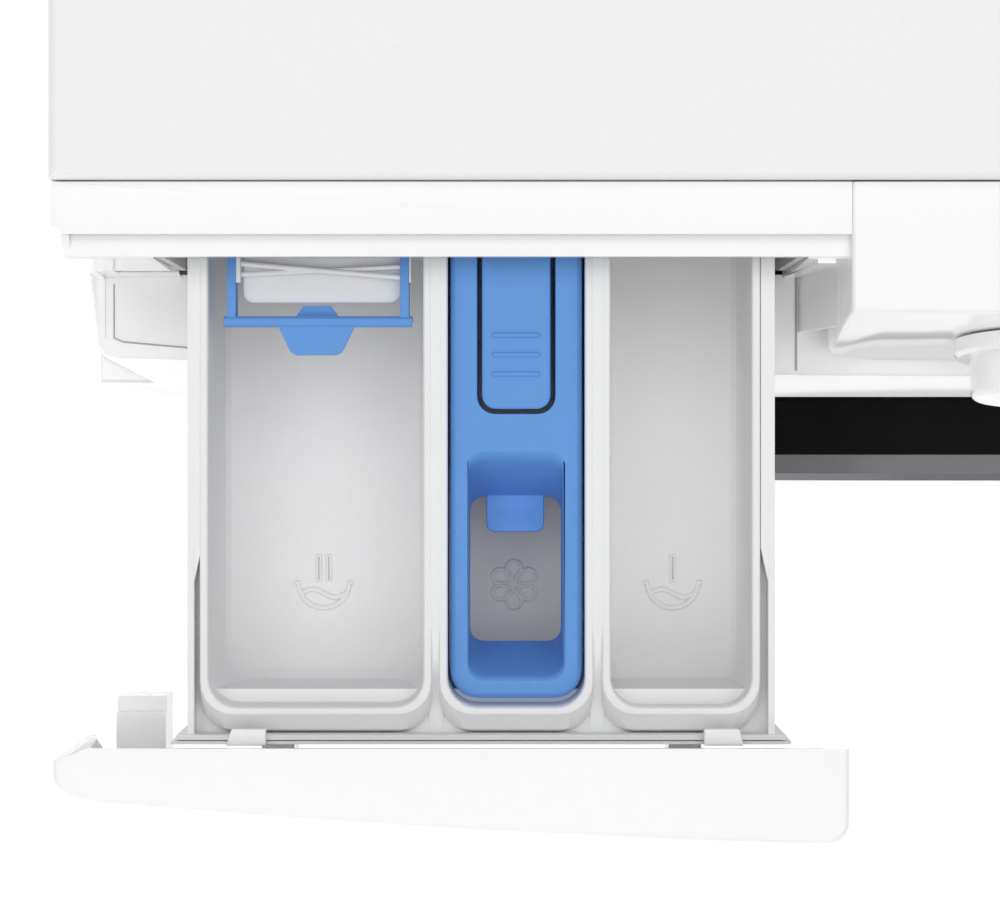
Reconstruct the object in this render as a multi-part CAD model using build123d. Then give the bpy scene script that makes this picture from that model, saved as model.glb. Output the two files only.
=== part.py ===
from build123d import *
import os
from math import acos, atan, atan2, cos, degrees, pi, sin, sqrt

# Front load washing machine, drawn in millimetres.
# X runs to the machine's right as seen from the front, Y runs to the rear, Z up, floor at Z = 0.
# While it is modelled, Y = 0 lies midway between the front and rear panels. The last lines move the
# whole machine along Y, so that the origin ends up under the middle of its outline.

# ------------------------------------------------------------------ cabinet
width = 600.0
height = 850.0
depth = 520.0
sheet = 1.2
fold = 15.0  # width of the folded edges of the sheet panels
foot_height = 15.0
base_height = 40.0
base_sheet = 2.0
base_flange = 60.0
worktop_thick = 30.0
worktop_setback = 57.7  # from the front panel's face back to the worktop's front edge
worktop_round = 2.5
worktop_rim = 16.0
worktop_board = 14.0
seam = 0.5  # gap between the worktop and the fascia

# ------------------------------------------------------------------ fascia
fascia_drop = 7.0  # the fascia's top lies this far below the worktop's
fascia_height = 128.0
chin_height = 32.0
chin_proud = 4.6
chin_setback = 2.0
bow_radius = 3100.0  # the fascia's bow, seen from above
nose_setback = 18.1  # from the front panel's face back to the fascia's top front edge
face_lean = 11.9
face_wall = 3.0
top_wall = 2.0
edge_bevel = 2.5
window_left, window_right = 60.0, 180.0
window_low, window_high = 779.0, 822.0
knob_z = 795.0
knob_radius = 26.0
start_x, start_z, start_radius = 255.0, 795.0, 9.0
key_z, key_width, key_height = 763.0, 20.0, 7.0
key_places = [95.0, 145.0]
key_travel = 1.5
board_front = -226.0
board_posts = [(-45.0, 764.0), (-45.0, 822.0), (205.0, 758.0), (205.0, 826.0)]

# ------------------------------------------------------------------ drawer
drawer_travel = 158.0
drawer_right = -63.0  # right end of the drawer's front
drawer_left_gap = 2.0
drawer_gap = 0.5
drawer_top_gap = 0.3
front_wall = 2.4
tray_left = -261.2
tray_width = 177.4
tray_length = 230.0
tray_height = 62.0
tray_top_drop = 26.0  # the tray's rim below the worktop's top
tray_wall = 6.3
main_width = 64.9
softener_width = 41.0
prewash_width = 42.8
rib_main = 7.5
rib_prewash = 7.9
tray_floor = 2.5
tray_rear_wall = 4.0
front_apron = 9.2  # from the tray's front plate back to the compartments
tray_corner = 8.5
insert_gap = 0.6
tongue_width = 23.2
tongue_length = 50.0
tongue_gap = 0.5
flap_width = 56.0
flap_reach = 58.0
flap_bar = 4.0
housing_wall = 2.5
housing_side = 6.3
pin_gap = 0.05
lug_left, lug_right = -287.5, -272.0
lug_low, lug_high = 755.0, 780.0
clip_width = 10.0
flap_pin = 1.5
fill_place = (-125.0, 5.0)  # the housing's outlet to the tub
hose_x, hose_z = -175.0, 800.0

# ------------------------------------------------------------------ door
axis_height = 435.0
door_radius = 235.0
door_depth = 31.0
door_gap = 2.0
ring_depth = 9.0
ring_width = 35.0
window_radius = 160.0
glass_wall = 5.0
bowl_depth = 92.0
hinge_inset = 3.0  # the hinge pin from the door's edge
hinge_proud = 24.0
hinge_pin_radius = 3.0
handle_width = 20.0
handle_inset = 9.0
hook_inset = 35.0
mouth_radius = 170.0
mouth_seat = 163.0

# ------------------------------------------------------------------ tub, drum and drive
drum_radius = 240.0
drum_length = 300.0
drum_front = -170.0
drum_sheet = 1.2
drum_mouth = 157.0
lifter_height = 40.0
shaft_radius = 15.0
bearing_radius = 31.0
bearing_width = 16.0
run_gap = 0.05
tub_gap = 12.0
tub_wall = 4.0
tub_front_y = -205.0
tub_joint_y = -25.0
tub_rear_y = 160.0
pulley_radius = 140.0
pulley_width = 16.0
pulley_y = 196.0
motor_x = 95.0
motor_z = 125.0
motor_radius = 48.0
motor_length = 110.0
motor_front = 40.0
motor_shaft_radius = 6.0
motor_pulley_radius = 10.0
belt_thick = 3.0
belt_gap = 0.3
belt_width = 12.0
spring_x = 200.0
spring_y = 60.0
spring_radius = 12.0
damper_x = 205.0
damper_y = 100.0
damper_rod_radius = 5.0
spring_foot = 608.0
spring_top = 800.0
damper_head = 262.0
sump_x, sump_y = -12.0, 20.0
heater_ends = (-32.0, 8.0)
heater_rod = 4.2

# ------------------------------------------------------------------ water and rear fittings
pump_x = 225.0
pump_y = -135.0
pump_z = 62.0
filter_radius = 26.3
valve_x = -200.0
valve_z = 787.0
thread_radius = 13.2
rear_proud = 16.0
collar_proud = 1.0
valve_collar = 17.0
spigot_collar = 13.0
gland_x, gland_z = 240.0, 700.0
gland_radius = 9.0
drain_x = 262.0
drain_z = 140.0
spigot_radius = 9.5

# ------------------------------------------------------------------ values that follow from these
half = width / 2
front = -depth / 2
rear = depth / 2
inside = half - sheet
cabinet_top = height - worktop_thick
worktop_front = front + worktop_setback
fascia_back = worktop_front - seam
fascia_top = height - fascia_drop
fascia_bottom = fascia_top - fascia_height
chin_top = fascia_bottom + chin_height
nose = front + nose_setback
toe = nose - face_lean
face_height = fascia_top - chin_top
bow_axis = Axis((0, nose + bow_radius, 0), (0, 0, 1))
lean_angle = atan(face_lean / face_height)
drawer_left = -half + drawer_left_gap
drawer_top = fascia_top - top_wall - drawer_top_gap
ledge_top = drawer_top - front_wall - drawer_top_gap
pocket_back = front + 36.0
tray_right = tray_left + tray_width
tray_top = height - tray_top_drop
tray_bottom = tray_top - tray_height
tray_front = front - 111.0  # drawn out
tray_rear = tray_front + tray_length
compartment_front = tray_front + front_apron
main_left = tray_left + tray_wall
main_right = main_left + main_width
soft_left = main_right + rib_main
soft_right = soft_left + softener_width
pre_left = soft_right + rib_prewash
pre_right = pre_left + prewash_width
soft_mid = (soft_left + soft_right) / 2
main_mid = (main_left + main_right) / 2
siphon_y = tray_rear - 22.0
well_front = compartment_front + 8.5
well_rear = well_front + 68.0
tongue_front = well_rear + 12.0
tongue_rear = tongue_front + tongue_length
flap_y = tray_front + 184.4
flap_z = tray_top - 8.0
housing_left = tray_left - housing_side - housing_wall
housing_right = tray_right + housing_side + housing_wall
housing_bottom = tray_bottom - 6.0
housing_top = tray_top + 9.5
housing_rear = tray_rear + drawer_travel + 5.0 + housing_wall
door_back = front - door_gap
door_front = door_back - door_depth
ring_back = door_front + ring_depth
hinge_x = hinge_inset - door_radius
handle_x = door_radius - handle_inset - handle_width
hook_x = door_radius - hook_inset
hinge_y = front - hinge_proud
drum_rear = drum_front + drum_length
tub_inner = drum_radius + tub_gap
tub_outer = tub_inner + tub_wall
tub_flange = tub_outer + 12.0
heater_z = axis_height - tub_outer - 9


# ------------------------------------------------------------------ shape helpers
def block(x0, x1, y0, y1, z0, z1):
    """A box between two corners."""
    centre = Pos((x0 + x1) / 2, (y0 + y1) / 2, (z0 + z1) / 2)
    return centre * Box(x1 - x0, y1 - y0, z1 - z0)


def bar_y(radius, y0, y1, x, z):
    """A round bar along Y."""
    return Pos(x, (y0 + y1) / 2, z) * Rot(90, 0, 0) * Cylinder(radius, y1 - y0)


def bar_x(radius, x0, x1, y, z):
    """A round bar along X."""
    return Pos((x0 + x1) / 2, y, z) * Rot(0, 90, 0) * Cylinder(radius, x1 - x0)


def bar_z(radius, z0, z1, x, y):
    """A round bar along Z."""
    return Pos(x, y, (z0 + z1) / 2) * Cylinder(radius, z1 - z0)


def turned(points):
    """A ring turned about the drum's axis from (radius, y) points."""
    face = Plane.XY.offset(axis_height) * Polygon(*points, align=None)
    return revolve(face, Axis((0, 0, axis_height), (0, 1, 0)))


def bowed(points, x0, x1):
    """A wall with the fascia's bow, swept from (y, z) points on the centre line, between two X values."""
    face = Plane.YZ * Polygon(*points, align=None)
    sweep_angle = 2.4 * degrees(half / bow_radius)
    swept = revolve(face, bow_axis, sweep_angle).rotate(bow_axis, -sweep_angle / 2)
    low = min(p[1] for p in points) - 1
    high = max(p[1] for p in points) + 1
    return swept & block(x0, x1, front - 200, rear, low, high)


def pocket(x0, x1, y0, y1, z0, z1, corner, floor_round):
    """A rounded compartment, to be cut out."""
    shape = block(x0, x1, y0, y1, z0, z1)
    shape = fillet(shape.edges().filter_by(Axis.Z), corner)
    return fillet(shape.faces().sort_by(Axis.Z)[0].edges(), floor_round)


def tube(points, radii, outer, inner):
    """A hose through the points, with arcs at its corners."""
    path = FilletPolyline(*points, radius=radii)
    start = Plane(origin=path @ 0, z_dir=path % 0)
    return sweep(start * (Circle(outer) - Circle(inner)), path=path)


def face_y(x, z):
    """Y of the fascia's outer face at X and Z."""
    fall = (fascia_top - z) / face_height * face_lean
    return nose - fall + bow_radius - sqrt(bow_radius**2 - x**2)


# ------------------------------------------------------------------ cabinet panels
def side_panels():
    """Left and right pressed panels, with folded front, rear and top edges."""
    low, high = foot_height, cabinet_top
    panel_front, panel_rear = front + sheet, rear - sheet
    right = block(inside, half, panel_front, panel_rear, low, high)
    right += block(inside - fold, inside, panel_front, panel_front + sheet, low, fascia_bottom)
    right += block(inside - fold, inside, panel_rear - sheet, panel_rear, low, high)
    right += block(inside - fold, inside, worktop_front, panel_rear, high - sheet, high)
    right -= block(0, width, front - 1, worktop_front + seam, fascia_bottom, height)
    right -= block(0, inside, panel_front - 1, panel_front + fold, low - 1, low + base_height)
    right -= block(0, inside, panel_rear - fold, panel_rear + 1, low - 1, low + base_height)
    return [right, mirror(right, about=Plane.YZ)]


def front_panel():
    """Front sheet with the round mouth, its inward lip and the slot for the door's hook."""
    low = foot_height + 80.0
    panel = block(-half, half, front, front + sheet, low, fascia_bottom)
    panel -= bar_y(mouth_radius, front - 1, front + 2, 0, axis_height)
    lip = turned([
        (mouth_radius, front + sheet), (mouth_radius + sheet, front + sheet),
        (mouth_radius + sheet, front + 10), (mouth_radius, front + 10)])
    panel += lip
    return panel - block(hook_x - 8, hook_x + 8, front - 1, front + 3, axis_height - 11, axis_height + 11)


def kick_panel():
    """Plinth below the front panel, with the opening for the drain filter."""
    panel = block(-half, half, front, front + sheet, foot_height + base_sheet, foot_height + 80.0)
    opening = block(pump_x - 33, pump_x + 33, front - 1, front + 3, pump_z - 32, pump_z + 26)
    return panel - opening


def rear_panel():
    """Rear sheet with the service opening and the holes for water, drain and mains."""
    panel = block(-half, half, rear - sheet, rear, foot_height, cabinet_top)
    panel -= block(-160, 160, rear - 3, rear + 1, 270, 600)
    panel -= bar_y(valve_collar + 0.3, rear - 3, rear + 1, valve_x, valve_z)
    panel -= bar_y(spigot_collar + 0.3, rear - 3, rear + 1, drain_x, drain_z)
    return panel - bar_y(gland_radius + 0.3, rear - 3, rear + 1, gland_x, gland_z)


def rear_cover():
    """Plate over the service opening, with a shallow embossed field."""
    cover = block(-172, 172, rear, rear + sheet, 258, 612)
    cover += block(-140, 140, rear + sheet, rear + sheet + 3, 290, 580)
    return cover - block(-138.8, 138.8, rear - 1, rear + 3, 291.2, 578.8)


def base_frame():
    """Bottom frame: a ring of folded steel with four foot seats and a cross plate for the dampers."""
    low, high = foot_height, foot_height + base_height
    outer = rear - sheet
    ring = block(-inside, inside, -outer, outer, low, high)
    ring -= block(-inside + 1.5, inside - 1.5, -outer + 1.5, outer - 1.5, low + base_sheet, high + 1)
    ring -= block(-inside + base_flange, inside - base_flange, -outer + base_flange,
                  damper_y - 25, low - 1, high)
    ring -= block(-inside + base_flange, inside - base_flange, damper_y + 25,
                  outer - base_flange, low - 1, high)
    ring -= block(pump_x - 35, pump_x + 35, -outer - 1, -outer + 3, pump_z - 34, high + 1)
    for x, y in foot_places():
        ring -= bar_z(5.0 + pin_gap, low - 1, low + 3, x, y)
    return ring


def foot_places():
    """Centres of the four feet."""
    x, y = inside - 37.0, rear - 38.0
    return [(-x, -y), (x, -y), (-x, y), (x, y)]


def feet():
    """Four levelling feet: a pad on a threaded stem."""
    made = []
    for x, y in foot_places():
        pad = bar_z(20.0, 0, 7.0, x, y)
        pad = chamfer(pad.faces().sort_by(Axis.Z)[-1].edges(), 2.0)
        made.append(pad + bar_z(5.0, 7.0, 42.0, x, y))
    return made


def foot_nuts():
    """Four hexagon lock nuts under the base frame."""
    made = []
    for x, y in foot_places():
        blank = Pos(x, y, foot_height - 5.5) * extrude(RegularPolygon(9.8, 6), 5.5)
        made.append(blank - bar_z(5.0 + pin_gap, 0, 20, x, y))
    return made


def worktop():
    """Worktop: a board with a deeper rim, notched in front for the dispenser housing."""
    board = block(-half, half, worktop_front, rear, cabinet_top, height)
    top_edges = board.faces().sort_by(Axis.Z)[-1].edges()
    board = fillet(top_edges, worktop_round)
    low, under = cabinet_top - 1, height - worktop_board
    board -= block(-half + worktop_rim, half - worktop_rim, worktop_front + worktop_rim,
                   rear - worktop_rim, low, under)
    return board - block(housing_left - 2, housing_right + 2, worktop_front - 1,
                         worktop_front + worktop_rim + 1, low, under)


def top_rails():
    """Crossbar behind the fascia, rear brace, and the two rails that the springs hang from."""
    bar_front = fascia_back + seam + 0.3
    crossbar = block(-inside, inside, bar_front, bar_front + sheet, fascia_bottom, cabinet_top - sheet)
    crossbar -= block(housing_left - 0.3, housing_right + 0.3, bar_front - 1, bar_front + 3,
                      housing_bottom - 0.3, height)
    crossbar -= block(-40, 260, bar_front - 1, bar_front + 3, chin_top + 8, cabinet_top - 20)
    brace_top = cabinet_top - sheet
    brace_lip = 8.0
    brace = block(-inside, inside, 150, 200, brace_top - 1.5, brace_top)
    brace += block(-inside + fold, inside - fold, 150, 151.5, brace_top - brace_lip, brace_top)
    brace += block(-inside + fold, inside - fold, 198.5, 200, brace_top - brace_lip, brace_top)
    made = [crossbar, brace]
    for side in (-1, 1):
        x0, x1 = sorted((side * (spring_x - 15), side * inside))
        w0, w1 = sorted((side * (inside - 2), side * inside))
        rail = block(x0, x1, spring_y - 15, spring_y + 15, 800, 803)
        made.append(rail + block(w0, w1, spring_y - 15, spring_y + 15, 775, 803))
    return made


# ------------------------------------------------------------------ control fascia
def fascia_envelope(x0, x1):
    """The fascia's filled outline between two X values."""
    bevel_y = nose - face_lean * edge_bevel / face_height
    outline = [(toe, chin_top), (bevel_y, fascia_top - edge_bevel), (nose + edge_bevel, fascia_top),
               (fascia_back + 30, fascia_top), (fascia_back + 30, chin_top)]
    filled = bowed(outline, x0, x1)
    return filled & block(x0, x1, front - 100, fascia_back, chin_top, fascia_top)


def control_fascia():
    """Bowed moulding with the drawer's pocket on the left and the chin below."""
    wall_right = drawer_right + drawer_gap
    body = fascia_envelope(wall_right, half)
    hollow = bowed([(toe + face_wall, chin_top - 1), (nose + face_wall, fascia_top - face_wall),
                    (fascia_back + 40, fascia_top - face_wall), (fascia_back + 40, chin_top - 1)],
                   wall_right + face_wall, half - face_wall)
    body -= hollow
    # the overhang above the drawer, the ledge below it, the pocket's back wall and its floor
    body += block(-half, wall_right, pocket_back + 6, fascia_back, fascia_top - top_wall, fascia_top)
    body += block(-half, wall_right, pocket_back, fascia_back, ledge_top - top_wall, ledge_top)
    body += block(-half, wall_right, pocket_back - 4, pocket_back + 1, chin_top - 2, ledge_top)
    body += block(-half, -half + face_wall, pocket_back - 4, fascia_back, fascia_bottom, fascia_top)
    body += block(-half + 2.5, half, toe, pocket_back, chin_top - 2.5, chin_top)
    chin = extrude(Plane.YZ.offset(-half + 2.5) * Polygon(
        (front + chin_setback, chin_top), (front - chin_proud, fascia_bottom),
        (front - chin_proud + face_wall, fascia_bottom),
        (front + chin_setback + face_wall, chin_top - 2.5),
        (toe + 6, chin_top - 2.5), (toe + 6, chin_top), align=None), width - 5)
    corner = Polygon((-half, front - 20), (-half + 30, front - 20),
                     (-half + 27, front - chin_proud), (-half, front + 8), align=None)
    trim = Pos(0, 0, fascia_bottom - 5) * extrude(corner, chin_height + 20)
    body += chin - trim - mirror(trim, about=Plane.YZ)
    body += block(half - face_wall, half, front + 8, fascia_back, fascia_bottom, chin_top)
    body += block(-half + 2.5, -half + 5.5, front + 8, pocket_back, fascia_bottom, chin_top)
    # openings for the dispenser housing, the drawer's guide lug, the window, knob and buttons
    body -= block(housing_left - 0.2, housing_right + 0.2, pocket_back - 5, fascia_back + 1,
                  housing_bottom - 0.2, housing_top + 0.2)
    body -= block(lug_left - 1.5, housing_left + 1, pocket_back - 5, pocket_back + 2,
                  lug_low - 1.5, lug_high + 1.5)
    body -= window_blank(0.1)
    body -= knob_axis(3.3, -10, 10)
    body -= bar_y(start_radius + 0.3, front, fascia_back, start_x, start_z)
    for x in key_places:
        body -= key_blank(x, 0.3, 12)
    for x, z in board_posts:
        body += bar_y(3.0, front, board_front, x, z) & fascia_envelope(drawer_right, half)
    return body


def window_blank(gap):
    """The display window's bowed blank, grown by a gap."""
    low, high = window_low - gap, window_high + gap
    outer_low = nose - (fascia_top - low) / face_height * face_lean
    outer_high = nose - (fascia_top - high) / face_height * face_lean
    deep = 1.6 + gap
    points = [(outer_low, low), (outer_high, high), (outer_high + deep, high), (outer_low + deep, low)]
    return bowed(points, window_left - gap, window_right + gap)


def display_window():
    """Smoked window set flush in the fascia."""
    return window_blank(0)


def knob_plane():
    """Plane on the fascia's face under the knob, facing out."""
    return Plane(origin=(0, face_y(0, knob_z), knob_z), x_dir=(1, 0, 0),
                 z_dir=(0, -cos(lean_angle), sin(lean_angle)))


def knob_axis(radius, back, out):
    """A round bar along the knob's axis, from behind the face to in front of it."""
    return knob_plane() * Pos(0, 0, (back + out) / 2) * Cylinder(radius, out - back)


def program_knob():
    """Programme knob with a grip rib and its shaft."""
    skirt = knob_axis(knob_radius, 0.6, 6.0)
    skirt = chamfer(skirt.faces().sort_by(Axis.Y)[0].edges(), 1.2)
    grip = knob_axis(knob_radius - 5, 5.0, 19.0)
    grip = fillet(grip.faces().sort_by(Axis.Y)[0].edges(), 2.5)
    mark = knob_plane() * Pos(0, knob_radius - 9, 19.0) * Box(1.6, 6, 1.0)
    return skirt + grip - mark + knob_axis(3.0, -14, 1.0)


def key_blank(x, gap, deep):
    """Rounded key shape through the fascia at X, grown by a gap."""
    shape = block(x - key_width / 2 - gap, x + key_width / 2 + gap, -deep, 4,
                  key_z - key_height / 2 - gap, key_z + key_height / 2 + gap)
    shape = fillet(shape.edges().filter_by(Axis.Y), key_height / 2 + gap - 0.2)
    return Pos(0, face_y(x, key_z) + 4, 0) * shape


def key(x):
    """A function key, standing 1.2 mm out of the face, with a stem to its switch."""
    proud = 1.2
    cap = key_blank(x, 0, 4 + proud)
    back = face_y(x, key_z)
    return cap + bar_y(2.5, back + 7, board_front - 2.3 - key_travel, x, key_z)


def start_button():
    """Round start button."""
    outer = face_y(start_x, start_z)
    cap = bar_y(start_radius, outer - 1.6, outer + 7, start_x, start_z)
    cap = chamfer(cap.faces().sort_by(Axis.Y)[0].edges(), 0.6)
    return cap + bar_y(2.5, outer + 6, board_front - 2.3 - key_travel, start_x, start_z)


def control_board():
    """Circuit board with the encoder, switches, display module and driver parts."""
    board = block(-50, 270, board_front, board_front + 1.6, 755, 830)
    made = []
    encoder = block(-8, 8, board_front - 14, board_front, knob_z - 8, knob_z + 8)
    made.append(encoder - knob_axis(3.0 + pin_gap, -40, 10))
    display = block(window_left + 4, window_right - 4, board_front - 5, board_front, 784, 818)
    switches = [(x, key_z) for x in key_places] + [(start_x, start_z)]
    board += display
    for x, z in switches:
        board += block(x - 4, x + 4, board_front - 2, board_front, z - 4, z + 4)
    for x in (20, 60, 100):
        board += block(x, x + 22, board_front + 1.6, board_front + 14, 800, 822)
    board += block(150, 190, board_front + 1.6, board_front + 19, 765, 800)
    return [board] + made


# ------------------------------------------------------------------ dispenser
def dispenser_housing():
    """Box that the drawer slides in, with runners, a rear outlet and hose stubs."""
    shell = block(housing_left, housing_right, pocket_back - 3.8, housing_rear,
                  housing_bottom, housing_top)
    shell -= block(housing_left + housing_wall, housing_right - housing_wall, pocket_back - 5,
                   housing_rear - housing_wall, housing_bottom + housing_wall,
                   housing_top - housing_wall)
    runner_front = tray_front + drawer_travel + 6
    runner_low = tray_bottom + 31.0
    ledge = 12.0
    left_runner = (housing_left + 1, tray_left - drawer_gap)
    right_runner = (tray_right + drawer_gap, housing_right - 1)
    for x0, x1 in (left_runner, right_runner):
        shell += block(x0, x1, runner_front, housing_rear - 1, runner_low, runner_low + 5)
    for x0, x1 in ((left_runner[0], left_runner[1] + ledge), (right_runner[0] - ledge, right_runner[1])):
        shell += block(x0, x1, runner_front, housing_rear - 1, housing_bottom + 1,
                       tray_bottom - drawer_top_gap)
    outlet_x, outlet_y = fill_place
    shell += bar_z(14.0, housing_bottom - 12, housing_bottom + 1, outlet_x, outlet_y)
    shell -= bar_z(11.0, housing_bottom - 14, housing_bottom + 4, outlet_x, outlet_y)
    shell += bar_y(6.3, housing_rear - 1, housing_rear + 14, hose_x, hose_z)
    shell -= bar_y(4.0, housing_rear - 4, housing_rear + 15, hose_x, hose_z)
    return shell


def drawer_tray():
    """Detergent tray with three rounded compartments behind a front plate."""
    body = block(tray_left, tray_right, tray_front + 2, tray_rear, tray_bottom, tray_top)
    body = fillet(body.edges().filter_by(Axis.Z), 3.0)
    body += block(tray_left - 4.8, tray_right + 4.8, tray_front, tray_front + 2.4,
                  tray_bottom, tray_top + 2)
    top = tray_top + 1
    low = tray_bottom + tray_floor
    back = tray_rear - tray_rear_wall
    body -= pocket(main_left, main_right, compartment_front, back, low, top, tray_corner, 6)
    body -= pocket(soft_left, soft_right, compartment_front, back, low, top, tray_corner, 6)
    body -= pocket(pre_left, pre_right, compartment_front, back, low, top, tray_corner, 6)
    # the rear wall is cut down, where the wash water carries the powder out
    for x0, x1 in ((main_left, main_right), (pre_left, pre_right)):
        body -= block(x0 + 8, x1 - 8, back - 1, tray_rear + 1, low + 8, top)
    # apron: the space between the front plate and the rounded ends of the compartments
    body -= block(tray_left + 2.2, tray_right - 2.2, tray_front + 2.4, compartment_front - 3.0,
                  low, top)
    # siphon tube in the softener compartment
    body += bar_z(4.0, low - 1, tray_top - 20, soft_mid, siphon_y)
    body -= bar_z(2.6, tray_bottom - 1, tray_top - 10, soft_mid, siphon_y)
    # pin seats of the liquid flap
    body -= bar_x(flap_pin + pin_gap, main_left - 3.4, main_right + 3.4, flap_y, flap_z)
    # baffle across the rear of the main compartment
    body += block(main_left - 0.5, main_right + 0.5, flap_y + 12, flap_y + 14, tray_top - 22, tray_top - 4)
    return body


def drawer_front():
    """Hollow front of the drawer, with the fascia's bow, lean and bevel, open at its back."""
    low = chin_top + 1.0
    shut = [(toe, low), (nose - 0.3, drawer_top - edge_bevel), (nose + edge_bevel - 0.3, drawer_top),
            (fascia_back + 30, drawer_top), (fascia_back + 30, low)]
    cut = [(toe + face_wall, low + front_wall), (nose + face_wall, drawer_top - front_wall),
           (fascia_back + 40, drawer_top - front_wall), (fascia_back + 40, low + front_wall)]
    top_back = tray_front + drawer_travel
    skin = bowed(shut, drawer_left, drawer_right)
    skin &= block(-half, half, front - 50, top_back, low, drawer_top)
    skin -= bowed(cut, drawer_left + front_wall, drawer_right - front_wall)
    skin -= block(-half, half, pocket_back - 7, fascia_back, low - 1, drawer_top - front_wall)
    skin -= block(-half, -half + face_wall + drawer_gap, pocket_back - 4 - drawer_gap, fascia_back,
                  low - 1, fascia_top)
    for x in (tray_left + 26, tray_right - 26):
        rib = bowed([(toe + 1.5, 776), (nose + 1.5 - 4, 802), (fascia_back, 802), (fascia_back, 776)],
                    x - 5, x + 5)
        skin += rib & block(-half, half, front - 50, top_back, 776, 802)
    lug = bowed([(toe + 1.5, lug_low), (toe + 4.5, lug_high), (fascia_back, lug_high),
                 (fascia_back, lug_low)], lug_left, lug_right)
    lug &= block(-half, half, front - 50, top_back + 11, lug_low, lug_high)
    lug -= block(lug_left + 2, lug_right - 2, top_back - 20, top_back + 9, lug_low + 2, lug_high + 1)
    skin += lug
    return Pos(0, -drawer_travel, 0) * skin


def front_clips():
    """Two clips that hold the drawer's front on the tray."""
    low, high = tray_top + 2, housing_top - housing_wall - drawer_gap
    made = []
    for x in (tray_left + 19.2, tray_right - 19.2):
        clip = block(x - clip_width / 2, x + clip_width / 2, tray_front, tray_front + 5, low, high)
        made.append(chamfer(clip.faces().sort_by(Axis.Y)[-1].edges().filter_by(Axis.Z), 1.2))
    return made


def insert_outline(gap, low, high):
    """Softener insert's plan outline as a slab, shrunk by a gap."""
    slab = block(soft_left + gap, soft_right - gap, compartment_front + gap,
                 tray_rear - tray_rear_wall - gap, low, high)
    return fillet(slab.edges().filter_by(Axis.Z), tray_corner + 0.5)


def siphon_insert():
    """Softener insert: a lid with a filling well and a bell over the siphon tube."""
    lid_low, lid_high = tray_top - 5.0, tray_top + 1.0
    lid = insert_outline(insert_gap, lid_low, lid_high)
    lid += block(soft_mid - 15, soft_mid + 15, well_front - 1.2, well_rear + 1.2, tray_top - 28, lid_high)
    lid -= block(soft_mid - 13.4, soft_mid + 13.4, well_front + 0.4, well_rear - 0.4,
                 tray_top - 30, lid_high + 1)
    lid += block(soft_mid - 8.5, soft_mid + 8.5, well_rear - 10, well_rear, tray_top - 24, tray_top - 22)
    lid -= block(soft_mid - tongue_width / 2 - tongue_gap, soft_mid + tongue_width / 2 + tongue_gap,
                 tongue_front - tongue_gap, tongue_rear + tongue_gap, lid_low - 1, lid_high + 1)
    lid += bar_z(8.0, tray_top - 45, lid_low + 1, soft_mid, siphon_y)
    return lid - bar_z(6.0, tray_top - 46, lid_low - 3, soft_mid, siphon_y)


def release_tongue():
    """Sprung tongue that is pressed to free the drawer, with three finger ridges."""
    low, high = tray_top - 3.0, tray_top + 1.0
    plate = block(soft_mid - tongue_width / 2, soft_mid + tongue_width / 2,
                  tongue_front, tongue_rear, low, high)
    front_edges = plate.edges().filter_by(Axis.Z).sort_by(Axis.Y)[:2]
    plate = fillet(front_edges, 5.0)
    for step in range(3):
        y = tongue_front + 11 + 5.9 * step
        plate += block(soft_mid - 7.3, soft_mid + 7.3, y - 0.7, y + 0.7, high, high + 0.7)
    return plate


def liquid_flap():
    """Blue gate for liquid detergent: a bar with two arms, a thumb tab and two hinge pins."""
    low, high = flap_z - 3.0, flap_z + 3.0
    left, right = main_mid - flap_width / 2, main_mid + flap_width / 2
    bar_front = flap_y - flap_reach
    gate = block(left, right, bar_front, bar_front + flap_bar, low - 3, high)
    tab = Polygon((main_mid - 11, bar_front + 1), (main_mid - 7.5, bar_front - 9),
                  (main_mid + 7.5, bar_front - 9), (main_mid + 11, bar_front + 1), align=None)
    gate += Pos(0, 0, high - 2) * extrude(tab, 2)
    for x0 in (left, right - flap_bar):
        gate += block(x0, x0 + flap_bar, bar_front, flap_y, low, high)
        gate += bar_x(3.0, x0, x0 + flap_bar, flap_y, flap_z)
    gate += bar_x(flap_pin, main_left - 3.0, left + 1, flap_y, flap_z)
    gate += bar_x(flap_pin, right - 1, main_right + 3.0, flap_y, flap_z)
    return gate


# ------------------------------------------------------------------ door
def hinge_notch():
    """Room for the hinge in the door's left edge."""
    return block(-door_radius - 5, hinge_x + 18, door_front - 2, door_back + 1,
                 axis_height - 50, axis_height + 50)


def handle_notch():
    """Recess for the handle and the fingers in the door's right edge."""
    return block(handle_x - 1.2, door_radius + 5, door_front - 2, ring_back + 10,
                 axis_height - 40.5, axis_height + 40.5)


def door_frame():
    """Black ring that carries the glass."""
    seat = window_radius + 10.3
    ring = turned([
        (door_radius, ring_back), (door_radius, door_back - 3), (door_radius - 3, door_back),
        (window_radius, door_back), (window_radius, door_back - 3.7), (seat, door_back - 3.7),
        (seat, ring_back)])
    ring -= hinge_notch()
    ring -= handle_notch()
    hook_room = block(hook_x - 6, hook_x + 6, ring_back - 1, door_back + 1,
                      axis_height - 8, axis_height + 8)
    return ring - hook_room


def door_ring():
    """Grey trim ring on the door's front."""
    inner = door_radius - ring_width
    ring = turned([
        (door_radius, ring_back), (door_radius, door_front + 2.5), (door_radius - 2.5, door_front),
        (inner + 6, door_front), (inner, door_front + 3), (inner, ring_back)])
    return ring - hinge_notch() - handle_notch()


def door_cover():
    """Dark outer cover in front of the glass."""
    inner = door_radius - ring_width - 0.3
    return turned([
        (0, ring_back - 4), (inner, ring_back - 3), (inner, ring_back), (0, ring_back - 1)])


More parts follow.
